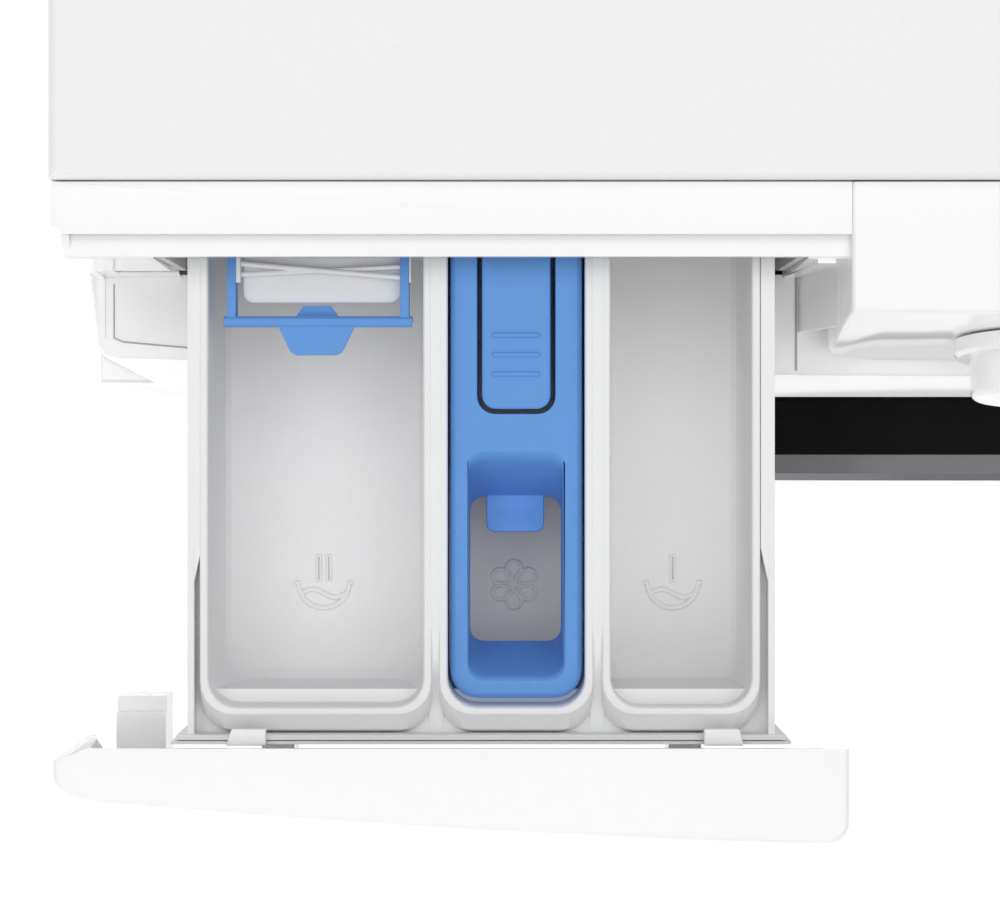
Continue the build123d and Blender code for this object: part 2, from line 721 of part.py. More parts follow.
def door_glass():
    """Deep glass bowl with a clamping rim."""
    rim = window_radius + 10.0
    y0 = door_back - 4.0
    end = y0 + bowl_depth
    return turned([
        (rim, y0), (window_radius - 2, y0), (150, y0 + 6), (140, y0 + 30), (112, end - 9),
        (96, end - 2), (0, end), (0, end - glass_wall), (93, end - glass_wall - 2),
        (107, end - 14), (135, y0 + 29), (145, y0 + 2), (150, y0 - 4.5), (rim, y0 - 4.5)])


def hinge_arm():
    """Door's half of the hinge: a knuckle and its arm."""
    arm = block(hinge_x, hinge_x + 18, hinge_y - 1, hinge_y + 11, axis_height - 28, axis_height + 28)
    arm += bar_z(7.0, axis_height - 28, axis_height + 28, hinge_x, hinge_y)
    return arm - bar_z(hinge_pin_radius + pin_gap, 300, 600, hinge_x, hinge_y)


def hinge_bracket():
    """Cabinet's half of the hinge: a plate with two ears."""
    plate = block(hinge_x - 36, hinge_x + 16, front - 1.7, front, axis_height - 49, axis_height + 49)
    for side in (-1, 1):
        z0, z1 = sorted((axis_height + side * 28.3, axis_height + side * 40))
        plate += block(hinge_x - 7, hinge_x + 7, hinge_y, front, z0, z1)
        plate += bar_z(7.0, z0, z1, hinge_x, hinge_y)
    return plate - bar_z(hinge_pin_radius, 300, 600, hinge_x, hinge_y)


def hinge_pin():
    """Hinge pin."""
    return bar_z(hinge_pin_radius, axis_height - 43, axis_height + 43, hinge_x, hinge_y)


def door_handle():
    """Pull lever in the door's right edge, hinged on its inner side."""
    x0, x1 = handle_x, handle_x + handle_width
    y0, y1 = door_front, door_front + 5.0
    lever = block(x0, x1, y0, y1, axis_height - 40, axis_height + 40)
    lever = fillet(lever.faces().sort_by(Axis.Y)[0].edges(), 1.5)
    return lever


def latch_hook():
    """Hook that enters the door lock."""
    pivot_y = door_back - 8.0
    hook = block(hook_x - 3, hook_x + 3, pivot_y, front + 14, axis_height - 5, axis_height + 5)
    hook += bar_z(3.0, axis_height - 7.7, axis_height + 7.7, hook_x, pivot_y)
    hook += block(hook_x - 3, hook_x + 3, front + 10, front + 14, axis_height - 8, axis_height - 4)
    return hook


def door_lock():
    """Electric lock behind the front panel."""
    body = block(hook_x - 15, hook_x + 15, front + sheet, front + 30, axis_height - 35, axis_height + 35)
    return body - block(hook_x - 7, hook_x + 10, front, front + 20, axis_height - 11, axis_height + 11)


def door_seal():
    """Rubber bellows between the front panel and the tub's mouth."""
    wall = 3.0
    outer = [(mouth_radius - 0.3, front - 1.2), (mouth_radius - 0.3, front + 12), (172, front + 25),
             (164, front + 32), (172, front + 39), (mouth_seat, front + 46), (mouth_seat, tub_front_y + 4)]
    inner = [(r - wall, y) for r, y in reversed(outer)]
    return turned(outer + inner)


# ------------------------------------------------------------------ tub
def tub_hollow():
    """Space inside the tub's walls."""
    return bar_y(tub_inner + 2, tub_front_y, tub_rear_y, 0, axis_height)


def tub_front():
    """Front half of the tub with its mouth lip."""
    lip = mouth_seat + 0.3
    wall = tub_front_y + tub_wall
    return turned([
        (lip, tub_front_y - 8), (lip + tub_wall, tub_front_y - 8), (lip + tub_wall, tub_front_y),
        (tub_outer, tub_front_y), (tub_outer, tub_joint_y - 8), (tub_flange, tub_joint_y - 8),
        (tub_flange, tub_joint_y), (tub_inner, tub_joint_y), (tub_inner, wall), (lip, wall)])


def tub_rear():
    """Rear half of the tub: bearing hub, heater sump and the ears for springs, dampers and motor."""
    wall = tub_rear_y - tub_wall
    hub_end = tub_rear_y + 30.0
    seat1 = hub_end - bearing_width
    seat2 = seat1 - 8.0
    seat3 = seat2 - bearing_width
    body = turned([
        (tub_inner, tub_joint_y), (tub_flange, tub_joint_y), (tub_flange, tub_joint_y + 8),
        (tub_outer, tub_joint_y + 8), (tub_outer, tub_rear_y), (42, tub_rear_y), (42, hub_end),
        (bearing_radius, hub_end), (bearing_radius, seat1), (27, seat1), (27, seat2),
        (bearing_radius, seat2), (bearing_radius, seat3), (26, seat3), (26, seat3 - 10),
        (42, seat3 - 10), (42, wall), (tub_inner, wall)])
    sump_low = axis_height - tub_outer - 21
    sump = block(-60, 40, -10, tub_rear_y, sump_low, axis_height - tub_inner + 12)
    sump -= block(-56, 36, -6, wall, sump_low + 4, axis_height)
    channel = block(-56, 36, -6, wall, sump_low + 4, axis_height - 200)
    ears = block(motor_x - 16, motor_x + 16, 50, 68, motor_z + motor_radius, 205)
    ears += block(motor_x - 16, motor_x + 16, 122, 140, motor_z + motor_radius, 205)
    for side in (-1, 1):
        x = side * spring_x
        ears += block(x - 12, x + 12, spring_y - 10, spring_y + 10, 585, spring_foot)
        x = side * damper_x
        ears += block(x - 12, x + 12, damper_y - 10, damper_y + 10, damper_head, 305)
    body += (sump + ears) - tub_hollow()
    for x in heater_ends:
        body -= bar_y(heater_rod + run_gap, wall - 1, tub_rear_y + 1, x, heater_z)
    return body - channel - bar_z(10, sump_low - 2, sump_low + 5, sump_x, sump_y)


def front_counterweight():
    """Cast ring segment bolted to the tub's front, above the door's lock."""
    ring = turned([(182, tub_front_y - 36), (254, tub_front_y - 36), (254, tub_front_y), (182, tub_front_y)])
    reach = 400.0
    low = [(0, 0), (reach, reach * 0.36), (reach, -reach), (-reach, -reach), (-reach, reach * 0.36)]
    wedge = Plane.XZ.offset(-tub_front_y - 10) * Polygon(*low, align=None)
    cut = Pos(0, 0, axis_height) * extrude(wedge, 60, both=True)
    return ring - cut


def top_counterweight():
    """Cast block seated on top of the tub."""
    body = block(-95, 130, -120, 110, axis_height + tub_outer - 22, axis_height + tub_outer + 44)
    body = fillet(body.edges().filter_by(Axis.Z), 12)
    body -= bar_y(tub_outer, -200, 200, 0, axis_height)
    return body - block(-200, 200, tub_joint_y - 9, tub_joint_y + 9, 0, axis_height + tub_flange + 1)


def drum_bearings():
    """Two deep groove bearings in the tub's hub."""
    hub_end = tub_rear_y + 30.0
    made = []
    for y0 in (hub_end - bearing_width, hub_end - 2 * bearing_width - 8):
        y1 = y0 + bearing_width
        ring = turned([
            (shaft_radius + run_gap, y0), (21, y0), (21, y0 + 1.5), (25, y0 + 1.5), (25, y0),
            (bearing_radius - run_gap, y0), (bearing_radius - run_gap, y1), (25, y1), (25, y1 - 1.5),
            (21, y1 - 1.5), (21, y1), (shaft_radius + run_gap, y1)])
        made.append(ring)
    return made


def shaft_seal():
    """Lip seal in front of the bearings."""
    y1 = tub_rear_y + 30.0 - 2 * bearing_width - 8
    return turned([
        (shaft_radius + run_gap, y1 - 9), (25.95, y1 - 9), (25.95, y1 - 1), (22, y1 - 1),
        (22, y1 - 6), (18, y1 - 6), (18, y1 - 3), (shaft_radius + run_gap, y1 - 3)])


def heater():
    """Tubular heater in the sump, with its rubber plug and two terminals."""
    z, (left, right) = heater_z, heater_ends
    bend_y = 10.0
    body = tube([(left, tub_rear_y - 1, z), (left, bend_y, z), (right, bend_y, z),
                 (right, tub_rear_y - 1, z)], 18, heater_rod, 2.6)
    body += block(left - 12, right + 12, tub_rear_y, tub_rear_y + 5, z - 10, z + 10)
    for x in heater_ends:
        body += bar_y(heater_rod, tub_rear_y - 2, tub_rear_y + 1, x, z)
        body += bar_y(3.0, tub_rear_y + 5, tub_rear_y + 13, x, z)
    return body


def motor_body():
    """Belt motor with end shields and cooling ribs."""
    end = motor_front + motor_length
    body = bar_y(motor_radius, motor_front + 14, end - 14, motor_x, motor_z)
    body += bar_y(motor_radius - 6, motor_front, end, motor_x, motor_z)
    for step in range(6):
        y = motor_front + 24 + 11 * step
        body -= bar_y(motor_radius + 1, y, y + 4, motor_x, motor_z) - bar_y(
            motor_radius - 3, y - 1, y + 5, motor_x, motor_z)
    for y in (50, 122):
        body += block(motor_x - 16, motor_x + 16, y, y + 18, motor_z + 20, motor_z + motor_radius)
    return body - bar_y(motor_shaft_radius + run_gap, end - 50, end + 1, motor_x, motor_z)


def motor_pulley():
    """Motor shaft with its ribbed pulley."""
    end = motor_front + motor_length
    turn = bar_y(motor_shaft_radius, end - 49, pulley_y + pulley_width, motor_x, motor_z)
    return turn + bar_y(motor_pulley_radius, pulley_y, pulley_y + pulley_width, motor_x, motor_z)


def belt_outline(gap):
    """Outline round both pulleys at a gap, in the XZ plane."""
    r1, r2 = pulley_radius + gap, motor_pulley_radius + gap
    dx, dz = motor_x, motor_z - axis_height
    reach = sqrt(dx**2 + dz**2)
    along = atan2(dz, dx)
    spread = acos((r1 - r2) / reach)

    def at(r, angle, second):
        cx, cz = (dx, dz) if second else (0, 0)
        return (cx + r * cos(angle), cz + r * sin(angle))

    a1, a2 = along + spread, along - spread
    big = ThreePointArc(at(r1, a1, False), at(r1, along + pi, False), at(r1, a2, False))
    small = ThreePointArc(at(r2, a2, True), at(r2, along, True), at(r2, a1, True))
    sides = Line(big @ 1, small @ 0) + Line(small @ 1, big @ 0)
    return make_face(Curve() + [big, small, *sides.edges()])


def drive_belt():
    """Ribbed belt round the drum's pulley and the motor's."""
    band = belt_outline(belt_gap + belt_thick) - belt_outline(belt_gap)
    y0 = pulley_y + (pulley_width - belt_width) / 2
    belt = extrude(Plane.XZ * band, belt_width)
    return Pos(0, y0 + belt_width, axis_height) * belt


def suspension_springs():
    """Two tension springs, drawn as closed sleeves with their end stems."""
    made = []
    for side in (-1, 1):
        x = side * spring_x
        sleeve = bar_z(spring_radius, spring_foot + 18, spring_top - 18, x, spring_y)
        sleeve -= bar_z(spring_radius - 3, spring_foot + 21, spring_top - 21, x, spring_y)
        made.append(sleeve + bar_z(2.0, spring_foot, spring_foot + 19, x, spring_y)
                    + bar_z(2.0, spring_top - 19, spring_top, x, spring_y))
    return made


def damper_cylinders():
    """Two friction damper cylinders standing on the base frame's cross plate."""
    made = []
    seat = foot_height + base_sheet
    for side in (-1, 1):
        x = side * damper_x
        body = bar_z(14.0, seat + 30, 200, x, damper_y)
        body += block(x - 8, x + 8, damper_y - 14, damper_y + 14, seat, seat + 36)
        body -= bar_z(10.0, 70, 190, x, damper_y)
        made.append(body - bar_z(damper_rod_radius + run_gap, 100, 210, x, damper_y))
    return made


def damper_rods():
    """Two damper rods with pistons, fixed under the tub's ears."""
    made = []
    for side in (-1, 1):
        x = side * damper_x
        rod = bar_z(damper_rod_radius, 120, damper_head, x, damper_y)
        rod += bar_z(9.5, 120, 134, x, damper_y)
        made.append(rod + bar_z(9.0, damper_head - 8, damper_head, x, damper_y))
    return made


# ------------------------------------------------------------------ drum
def drum_shell():
    """Steel drum: wrapper, front ring with a rolled lip, and back."""
    inner = drum_radius - drum_sheet
    return turned([
        (drum_mouth, drum_front - 9), (drum_mouth + drum_sheet, drum_front - 9),
        (drum_mouth + drum_sheet, drum_front - drum_sheet), (drum_radius, drum_front - drum_sheet),
        (drum_radius, drum_rear), (20, drum_rear), (20, drum_rear - drum_sheet),
        (inner, drum_rear - drum_sheet), (inner, drum_front), (drum_mouth, drum_front)])


def drum_shaft():
    """Cast spider with three arms and the drum's shaft."""
    body = bar_y(38.0, drum_rear, drum_rear + 9, 0, axis_height)
    for turn in range(3):
        arm = block(0, drum_radius - 12, drum_rear, drum_rear + 8, -12, 12)
        body += Pos(0, 0, axis_height) * (Rot(0, 90 + 120 * turn, 0) * arm)
    body += bar_y(shaft_radius, drum_rear, pulley_y + pulley_width + 8, 0, axis_height)
    return body


def drum_lifters():
    """Three hollow lifting ribs on the drum's inner wall."""
    inner = drum_radius - drum_sheet
    made = []
    for turn in range(3):
        foot = inner - 1.0
        rib = extrude(Plane.XZ * Polygon(
            (-26, foot - 3), (-10, foot - lifter_height), (10, foot - lifter_height), (26, foot - 3),
            (26, foot + 8), (-26, foot + 8), align=None), drum_length - 30)
        rib = Pos(0, drum_rear - 15, 0) * rib
        rib &= bar_y(inner, drum_front, drum_rear, 0, 0)
        made.append(Pos(0, 0, axis_height) * (Rot(0, 120 * turn, 0) * rib))
    return made


def drum_pulley():
    """Drum pulley with six spokes and its centre bolt."""
    y0, y1 = pulley_y, pulley_y + pulley_width
    rim = pulley_radius - 8
    wheel = turned([(rim, y0), (pulley_radius, y0), (pulley_radius, y1), (rim, y1)])
    wheel += turned([(shaft_radius, y0), (26, y0), (26, y1), (shaft_radius, y1)])
    for turn in range(6):
        spoke = block(24, pulley_radius - 6, y0 + 4, y1 - 4, -7, 7)
        wheel += Pos(0, 0, axis_height) * (Rot(0, 60 * turn, 0) * spoke)
    bolt = Plane.XZ.offset(-(y1 + 14)) * RegularPolygon(12, 6)
    head = Pos(0, 0, axis_height) * extrude(bolt, 6)
    return [wheel, head]


# ------------------------------------------------------------------ water, drain and mains
def inlet_valve():
    """Inlet valve with its threaded stub, two coils and an outlet stub."""
    body = block(valve_x - 22, valve_x + 34, rear - 45, rear - sheet, valve_z - 17, valve_z + 17)
    body += bar_y(valve_collar, rear - 2, rear + collar_proud, valve_x, valve_z)
    body += bar_y(thread_radius, rear, rear + rear_proud, valve_x, valve_z)
    body -= bar_y(9.0, rear - 5, rear + rear_proud + 1, valve_x, valve_z)
    body += bar_z(9.0, valve_z + 16, valve_z + 28, valve_x - 8, rear - 25)
    body += bar_z(9.0, valve_z + 16, valve_z + 28, valve_x + 16, rear - 25)
    body += bar_y(6.3, rear - 59, rear - 44, hose_x, hose_z)
    return body - bar_y(4.0, rear - 60, rear - 40, hose_x, hose_z)


def inner_hoses():
    """Hose from the valve to the dispenser, and hose from the pump to the drain spigot."""
    supply = bar_y(9.0, housing_rear + 0.3, rear - 45.3, hose_x, hose_z)
    supply -= bar_y(6.4, housing_rear, rear - 45, hose_x, hose_z)
    start = (pump_x, pump_y, pump_z + 28.3)
    drain = tube([start, (pump_x, pump_y, drain_z), (drain_x, pump_y + 75, drain_z),
                  (drain_x, rear - 30, drain_z)], 22, 11.0, 8.0)
    return [supply, drain]


def tub_hoses():
    """Bellows hose from the dispenser to the tub, and sump hose from the tub to the drain filter."""
    outlet_x, outlet_y = fill_place
    entry = axis_height + sqrt(tub_outer**2 - outlet_x**2)
    fill = bar_z(17.5, entry + 13.5, housing_bottom - 0.3, outlet_x, outlet_y)
    fill -= bar_z(14.3, entry, housing_bottom, outlet_x, outlet_y)
    sump_low = axis_height - tub_outer - 21
    sump = tube([(sump_x, sump_y, sump_low - 0.3), (sump_x, sump_y, pump_z), (sump_x, -195, pump_z),
                 (pump_x - filter_radius - 4, -195, pump_z)], 40, 13.0, 10.0)
    return [fill, sump]


def drain_pump():
    """Filter housing and pump on the base frame."""
    seat = foot_height + base_sheet
    y0 = front + 8
    body = bar_y(filter_radius + 3.5, y0, -160, pump_x, pump_z)
    body += bar_y(28.0, -161, -100, pump_x, pump_z)
    body += block(pump_x - 14, pump_x + 14, y0 + 62, -110, seat, pump_z - 15)
    body += bar_z(7.8, pump_z + 20, pump_z + 42, pump_x, pump_y)
    body += bar_x(9.8, pump_x - filter_radius - 15, pump_x - filter_radius, -195, pump_z)
    return body - bar_y(filter_radius, y0 - 1, -180, pump_x, pump_z)


def filter_cap():
    """Screw cap of the drain filter, with a grip bar and the strainer behind it."""
    y0 = front + 8
    cap = bar_y(filter_radius - 0.1, y0 - 2, y0 + 8, pump_x, pump_z)
    cap += block(pump_x - 20, pump_x + 20, y0 - 6.5, y0 - 1, pump_z - 4, pump_z + 4)
    strainer = bar_y(20.0, y0 + 7, y0 + 55, pump_x, pump_z) - bar_y(17.5, y0 + 10, y0 + 56, pump_x, pump_z)
    for step in range(3):
        z = pump_z - 11 + 11 * step
        strainer -= block(pump_x - 25, pump_x + 25, y0 + 16, y0 + 48, z - 2.5, z + 2.5)
    return cap + strainer


def filter_flap():
    """Flap over the drain filter, hinged at its lower edge."""
    return block(pump_x - 32.5, pump_x + 32.5, front, front + 1.2, pump_z - 31.5, pump_z + 25.5)


def drain_spigot():
    """Drain outlet through the rear panel, with its flange."""
    pipe = bar_y(spigot_radius, rear, rear + rear_proud, drain_x, drain_z)
    pipe += bar_y(7.8, rear - 40, rear, drain_x, drain_z)
    pipe += bar_y(spigot_collar, rear - 4, rear + collar_proud, drain_x, drain_z)
    pipe += bar_y(spigot_collar + 3, rear - 4, rear - sheet, drain_x, drain_z)
    return pipe - bar_y(6.5, rear - 41, rear + rear_proud + 1, drain_x, drain_z)


def cable_gland():
    """Gland for the mains lead, left empty."""
    gland = bar_y(gland_radius, rear - 8, rear + 6, gland_x, gland_z)
    gland += bar_y(gland_radius + 4, rear, rear + 3, gland_x, gland_z)
    return gland - bar_y(4.0, rear - 9, rear + 7, gland_x, gland_z)


# ------------------------------------------------------------------ build and write
nodes = {
    "side_panels": side_panels(), "front_panel": front_panel(), "kick_panel": kick_panel(),
    "rear_panel": rear_panel(), "rear_cover": rear_cover(), "base_frame": base_frame(),
    "feet": feet(), "foot_nuts": foot_nuts(), "worktop": worktop(), "top_rails": top_rails(),
    "control_fascia": control_fascia(), "display_window": display_window(),
    "control_board": control_board(), "program_knob": program_knob(),
    "temperature_key": key(key_places[0]), "spin_key": key(key_places[1]),
    "start_button": start_button(), "dispenser_housing": dispenser_housing(),
    "drawer_tray": drawer_tray(), "drawer_front": drawer_front(), "front_clips": front_clips(),
    "siphon_insert": siphon_insert(), "release_tongue": release_tongue(),
    "liquid_flap": liquid_flap(), "door_frame": door_frame(), "door_ring": door_ring(),
    "door_cover": door_cover(), "door_glass": door_glass(), "hinge_arm": hinge_arm(),
    "hinge_bracket": hinge_bracket(), "hinge_pin": hinge_pin(), "door_handle": door_handle(),
    "latch_hook": latch_hook(), "door_lock": door_lock(), "door_seal": door_seal(),
    "tub_front": tub_front(), "tub_rear": tub_rear(), "front_counterweight": front_counterweight(),
    "top_counterweight": top_counterweight(), "drum_bearings": drum_bearings(),
    "shaft_seal": shaft_seal(), "heater": heater(), "motor_body": motor_body(),
    "motor_pulley": motor_pulley(), "drive_belt": drive_belt(),
    "suspension_springs": suspension_springs(), "damper_cylinders": damper_cylinders(),
    "damper_rods": damper_rods(), "drum_shell": drum_shell(), "drum_shaft": drum_shaft(),
    "drum_lifters": drum_lifters(), "drum_pulley": drum_pulley(), "inlet_valve": inlet_valve(),
    "inner_hoses": inner_hoses(), "tub_hoses": tub_hoses(), "drain_pump": drain_pump(),
    "filter_cap": filter_cap(), "filter_flap": filter_flap(), "drain_spigot": drain_spigot(),
    "cable_gland": cable_gland(),
}

outline_front = nodes["drawer_front"].bounding_box().min.Y
outline_rear = rear + rear_proud
centring = Pos(0, -(outline_front + outline_rear) / 2, 0)

os.makedirs("parts", exist_ok=True)
for name, shape in nodes.items():
    solids = shape if isinstance(shape, list) else [shape]
    placed = [centring * s for s in solids]
    export_step(placed[0] if len(placed) == 1 else Compound(children=placed), f"parts/{name}.step")
print("centring", round(-(outline_front + outline_rear) / 2, 4), "nodes", len(nodes))
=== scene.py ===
from math import atan2, cos, pi, radians, sin, sqrt

import bmesh
import bpy
from mathutils import Matrix, Vector


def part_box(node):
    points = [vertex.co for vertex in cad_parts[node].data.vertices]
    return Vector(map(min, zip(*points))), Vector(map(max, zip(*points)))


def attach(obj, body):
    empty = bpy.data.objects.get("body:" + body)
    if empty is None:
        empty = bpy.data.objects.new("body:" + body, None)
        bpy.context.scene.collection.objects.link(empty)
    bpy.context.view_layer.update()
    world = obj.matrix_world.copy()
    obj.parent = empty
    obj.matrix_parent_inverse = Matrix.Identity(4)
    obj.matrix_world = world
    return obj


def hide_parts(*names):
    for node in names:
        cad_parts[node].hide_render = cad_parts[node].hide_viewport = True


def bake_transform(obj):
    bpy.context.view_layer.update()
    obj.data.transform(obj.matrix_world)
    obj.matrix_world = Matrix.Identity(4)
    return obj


bl_info = {
    "name": "Front load washing machine",
    "version": (1, 0, 0),
    "blender": (4, 5, 0),
    "location": "View3D > Sidebar > Washer",
    "description": "Builds the visible pieces and finishes of a front load washing machine",
    "category": "Add Mesh",
}

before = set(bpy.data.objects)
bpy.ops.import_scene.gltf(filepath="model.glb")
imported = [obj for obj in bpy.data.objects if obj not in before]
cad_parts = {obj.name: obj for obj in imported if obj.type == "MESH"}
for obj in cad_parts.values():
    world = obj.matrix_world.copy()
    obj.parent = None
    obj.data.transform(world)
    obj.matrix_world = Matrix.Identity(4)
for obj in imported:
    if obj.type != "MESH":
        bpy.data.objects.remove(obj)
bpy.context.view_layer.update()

MM = 0.001
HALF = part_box("side_panels")[1].x / MM
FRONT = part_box("front_panel")[0].y
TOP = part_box("worktop")[1].z / MM
REAR = (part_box("rear_panel")[1].y - FRONT) / MM
AXIS_Z = (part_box("door_frame")[0].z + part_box("door_frame")[1].z) / 2 / MM
TRAY_LOW, TRAY_HIGH = (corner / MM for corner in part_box("drawer_tray"))
TRAY_FRONT = (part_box("drawer_tray")[0].y - FRONT) / MM
TRAY_RIM = TRAY_HIGH.z - 2.0
BOW = 3100.0  # radius of the fascia's bow, seen from above
NOSE = 18.1  # depth of the fascia's top front edge
LEAN = 11.6  # how far the face leans out towards its foot
FOOT_BOW = 6.5  # how far the foot's bow goes back at the machine's sides
FACE_TOP, FACE_FOOT = 843.0, 747.0
MARK_LIFT = 0.5  # how far the middle of a raised mark's line stands over the compartment's floor


# ------------------------------------------------------------------ shape helpers
# Shapes are given in millimetres: X from the middle, Y behind the front panel's face, Z above the floor.
def place(x, y, z):
    """A point in the frame, in metres."""
    return Vector((x * MM, FRONT + y * MM, z * MM))


def ring(bm, x0, x1, y0, y1, z, front_round=0.3, rear_round=0.3, steps=6):
    """A level outline with rounded corners, as one face."""
    known = set(bm.faces)
    corners = [bm.verts.new(place(x, y, z)) for x, y in ((x0, y0), (x1, y0), (x1, y1), (x0, y1))]
    bm.faces.new(corners)
    for corner, radius in zip(corners, (front_round, front_round, rear_round, rear_round)):
        bmesh.ops.bevel(bm, geom=[corner], offset=radius * MM, affect="VERTICES",
                        segments=steps, profile=0.5, material=-1)
    return (set(bm.faces) - known).pop()


def loft(bm, rows, open_ends=False):
    """A closed wall through level outlines, capped at the first and the last."""
    faces = [ring(bm, *row) for row in rows]
    for low, high in zip(faces, faces[1:]):
        bmesh.ops.bridge_loops(bm, edges=list(low.edges) + list(high.edges))
    ends = list(faces[0].edges), list(faces[-1].edges)
    bmesh.ops.delete(bm, geom=faces if open_ends else faces[1:-1], context="FACES_ONLY")
    return ends


def stacked(bm, levels):
    """A closed block through drawn level outlines, each (height, [(x, y), ...])."""
    faces = [bm.faces.new([bm.verts.new(place(x, y, z)) for x, y in outline]) for z, outline in levels]
    for low, high in zip(faces, faces[1:]):
        bmesh.ops.bridge_loops(bm, edges=list(low.edges) + list(high.edges))
    bmesh.ops.delete(bm, geom=faces[1:-1], context="FACES_ONLY")


def pierced(bm, rows, holes):
    """A closed block through level outlines, with holes through it from bottom to top."""
    ends = [loft(bm, wall, open_ends=True) for wall in (rows, *holes)]
    for side in range(2):
        edges = [edge for end in ends for edge in end[side]]
        bmesh.ops.triangle_fill(bm, use_beauty=True, use_dissolve=False, edges=edges)


def prism(bm, outline, along, start, end):
    """A straight bar with a drawn section: (x, y) along Z, (x, z) along Y or (y, z) along X."""
    spots = {"X": lambda a, b: place(start, a, b), "Y": lambda a, b: place(a, start, b),
             "Z": lambda a, b: place(a, b, start)}
    step = {"X": (1, 0, 0), "Y": (0, 1, 0), "Z": (0, 0, 1)}[along]
    face = bm.faces.new([bm.verts.new(spots[along](a, b)) for a, b in outline])
    made = bmesh.ops.extrude_face_region(bm, geom=[face])
    verts = [item for item in made["geom"] if isinstance(item, bmesh.types.BMVert)]
    bmesh.ops.translate(bm, verts=verts, vec=Vector(step) * (end - start) * MM)


def block(bm, x0, x1, y0, y1, z0, z1):
    """A box between two corners."""
    prism(bm, [(x0, y0), (x1, y0), (x1, y1), (x0, y1)], "Z", z0, z1)


def round_bar(bm, radius, start, end, sides=16):
    """A round bar between two points."""
    a, b = place(*start), place(*end)
    turn = (b - a).to_track_quat("Z", "Y").to_matrix().to_4x4()
    bmesh.ops.create_cone(bm, cap_ends=True, segments=sides, radius1=radius * MM, radius2=radius * MM,
                          depth=(b - a).length, matrix=Matrix.Translation((a + b) / 2) @ turn)


def turned(bm, outline, steps=96):
    """A ring turned about the drum's axis from (radius, depth) points."""
    verts = [bm.verts.new(place(0, y, AXIS_Z + radius)) for radius, y in outline]
    edges = [bm.edges.new(pair) for pair in zip(verts, verts[1:] + verts[:1])]
    bmesh.ops.spin(bm, geom=verts + edges, cent=place(0, 0, AXIS_Z), axis=(0, 1, 0),
                   dvec=(0, 0, 0), angle=2 * pi, steps=steps, use_merge=True)


def tube_line(bm, points, radius, closed=False, sides=2):
    """A thin round line through points, as a raised mark or a wire."""
    curve = bpy.data.curves.new("line", "CURVE")
    curve.dimensions = "3D"
    curve.bevel_depth = radius * MM
    curve.bevel_resolution = sides
    curve.use_fill_caps = True
    spline = curve.splines.new("POLY")
    spline.points.add(len(points) - 1)
    for spot, point in zip(spline.points, points):
        spot.co = (*place(*point), 1)
    spline.use_cyclic_u = closed
    add_curve(bm, curve)


def add_curve(bm, curve, matrix=Matrix.Identity(4)):
    """Adds a curve's or a text's mesh, put in its place by a matrix."""
    holder = bpy.data.objects.new("holder", curve)
    mesh = bpy.data.meshes.new_from_object(holder)
    mesh.transform(matrix)
    bm.from_mesh(mesh)
    bpy.data.objects.remove(holder)
    bpy.data.meshes.remove(mesh)
    bpy.data.curves.remove(curve)


def lettering(bm, text, size, matrix, thick=0.12):
    """Raised figures, centred, put in place by a matrix."""
    curve = bpy.data.curves.new("figures", "FONT")
    curve.body = text
    curve.size = size * MM
    curve.extrude = thick * MM
    curve.align_x = "CENTER"
    curve.align_y = "CENTER"
    add_curve(bm, curve, matrix)


def bow(x):
    """How far back the bow takes the fascia at X."""
    return BOW - sqrt(BOW**2 - x**2)


def face_depth(x, z):
    """Depth of the fascia's outer face at X and Z."""
    fall = (FACE_TOP - z) / (FACE_TOP - FACE_FOOT)
    return NOSE + bow(x) * (1 - fall) + (FOOT_BOW * (x / HALF) ** 2 - LEAN) * fall


def on_face(x, z, proud=0.0):
    """Matrix of a spot on the fascia's face: X to the right, Y up the face, Z out of it."""
    lean = atan2(LEAN, FACE_TOP - FACE_FOOT)
    turn = Matrix.Rotation(atan2(x, sqrt(BOW**2 - x**2)), 4, "Z") @ Matrix.Rotation(pi / 2 - lean, 4, "X")
    return Matrix.Translation(place(x, face_depth(x, z), z)) @ turn @ Matrix.Translation((0, 0, proud * MM))


def finish_of(name):
    """The material of a finish; its name has spaces, so it is never a CAD part's own material."""
    return bpy.data.materials[name.replace("_", " ")]


def piece(bm, name, body, finish, stands_for=(), soften=0.0, smooth=30):
    """Makes the finished piece from its shape, in millimetres of softening along its sharp edges."""
    bmesh.ops.remove_doubles(bm, verts=bm.verts, dist=2e-6)
    bmesh.ops.recalc_face_normals(bm, faces=bm.faces)
    mesh = bpy.data.meshes.new(name)
    bm.to_mesh(mesh)
    bm.free()
    mesh.shade_smooth()
    mesh.set_sharp_from_angle(angle=radians(smooth))
    mesh.materials.append(finish_of(finish))
    made = bpy.data.objects.new(name, mesh)
    bpy.context.scene.collection.objects.link(made)
    if soften:
        edge = made.modifiers.new("soft edges", "BEVEL")
        edge.width = soften * MM
        edge.segments = 3
        edge.limit_method = "ANGLE"
        edge.angle_limit = radians(smooth)
        edge.harden_normals = True
    if body:
        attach(made, body)
    if stands_for:
        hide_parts(*stands_for)
    return made


# ------------------------------------------------------------------ materials
def linear(colour):
    """Linear RGBA of an sRGB hex colour."""
    parts = [int(colour[i:i + 2], 16) / 255 for i in (1, 3, 5)]
    return (*(c / 12.92 if c <= 0.04045 else ((c + 0.055) / 1.055) ** 2.4 for c in parts), 1.0)


def add_node(tree, kind, settings=None, **inputs):
    """Adds a node with its settings, and sets or links its inputs."""
    node = tree.nodes.new("ShaderNode" + kind)
    for name, value in (settings or {}).items():
        setattr(node, name, value)
    for name, value in inputs.items():
        socket = node.inputs[name.replace("_", " ")]
        if isinstance(value, bpy.types.NodeSocket):
            tree.links.new(value, socket)
        else:
            socket.default_value = value
    return node


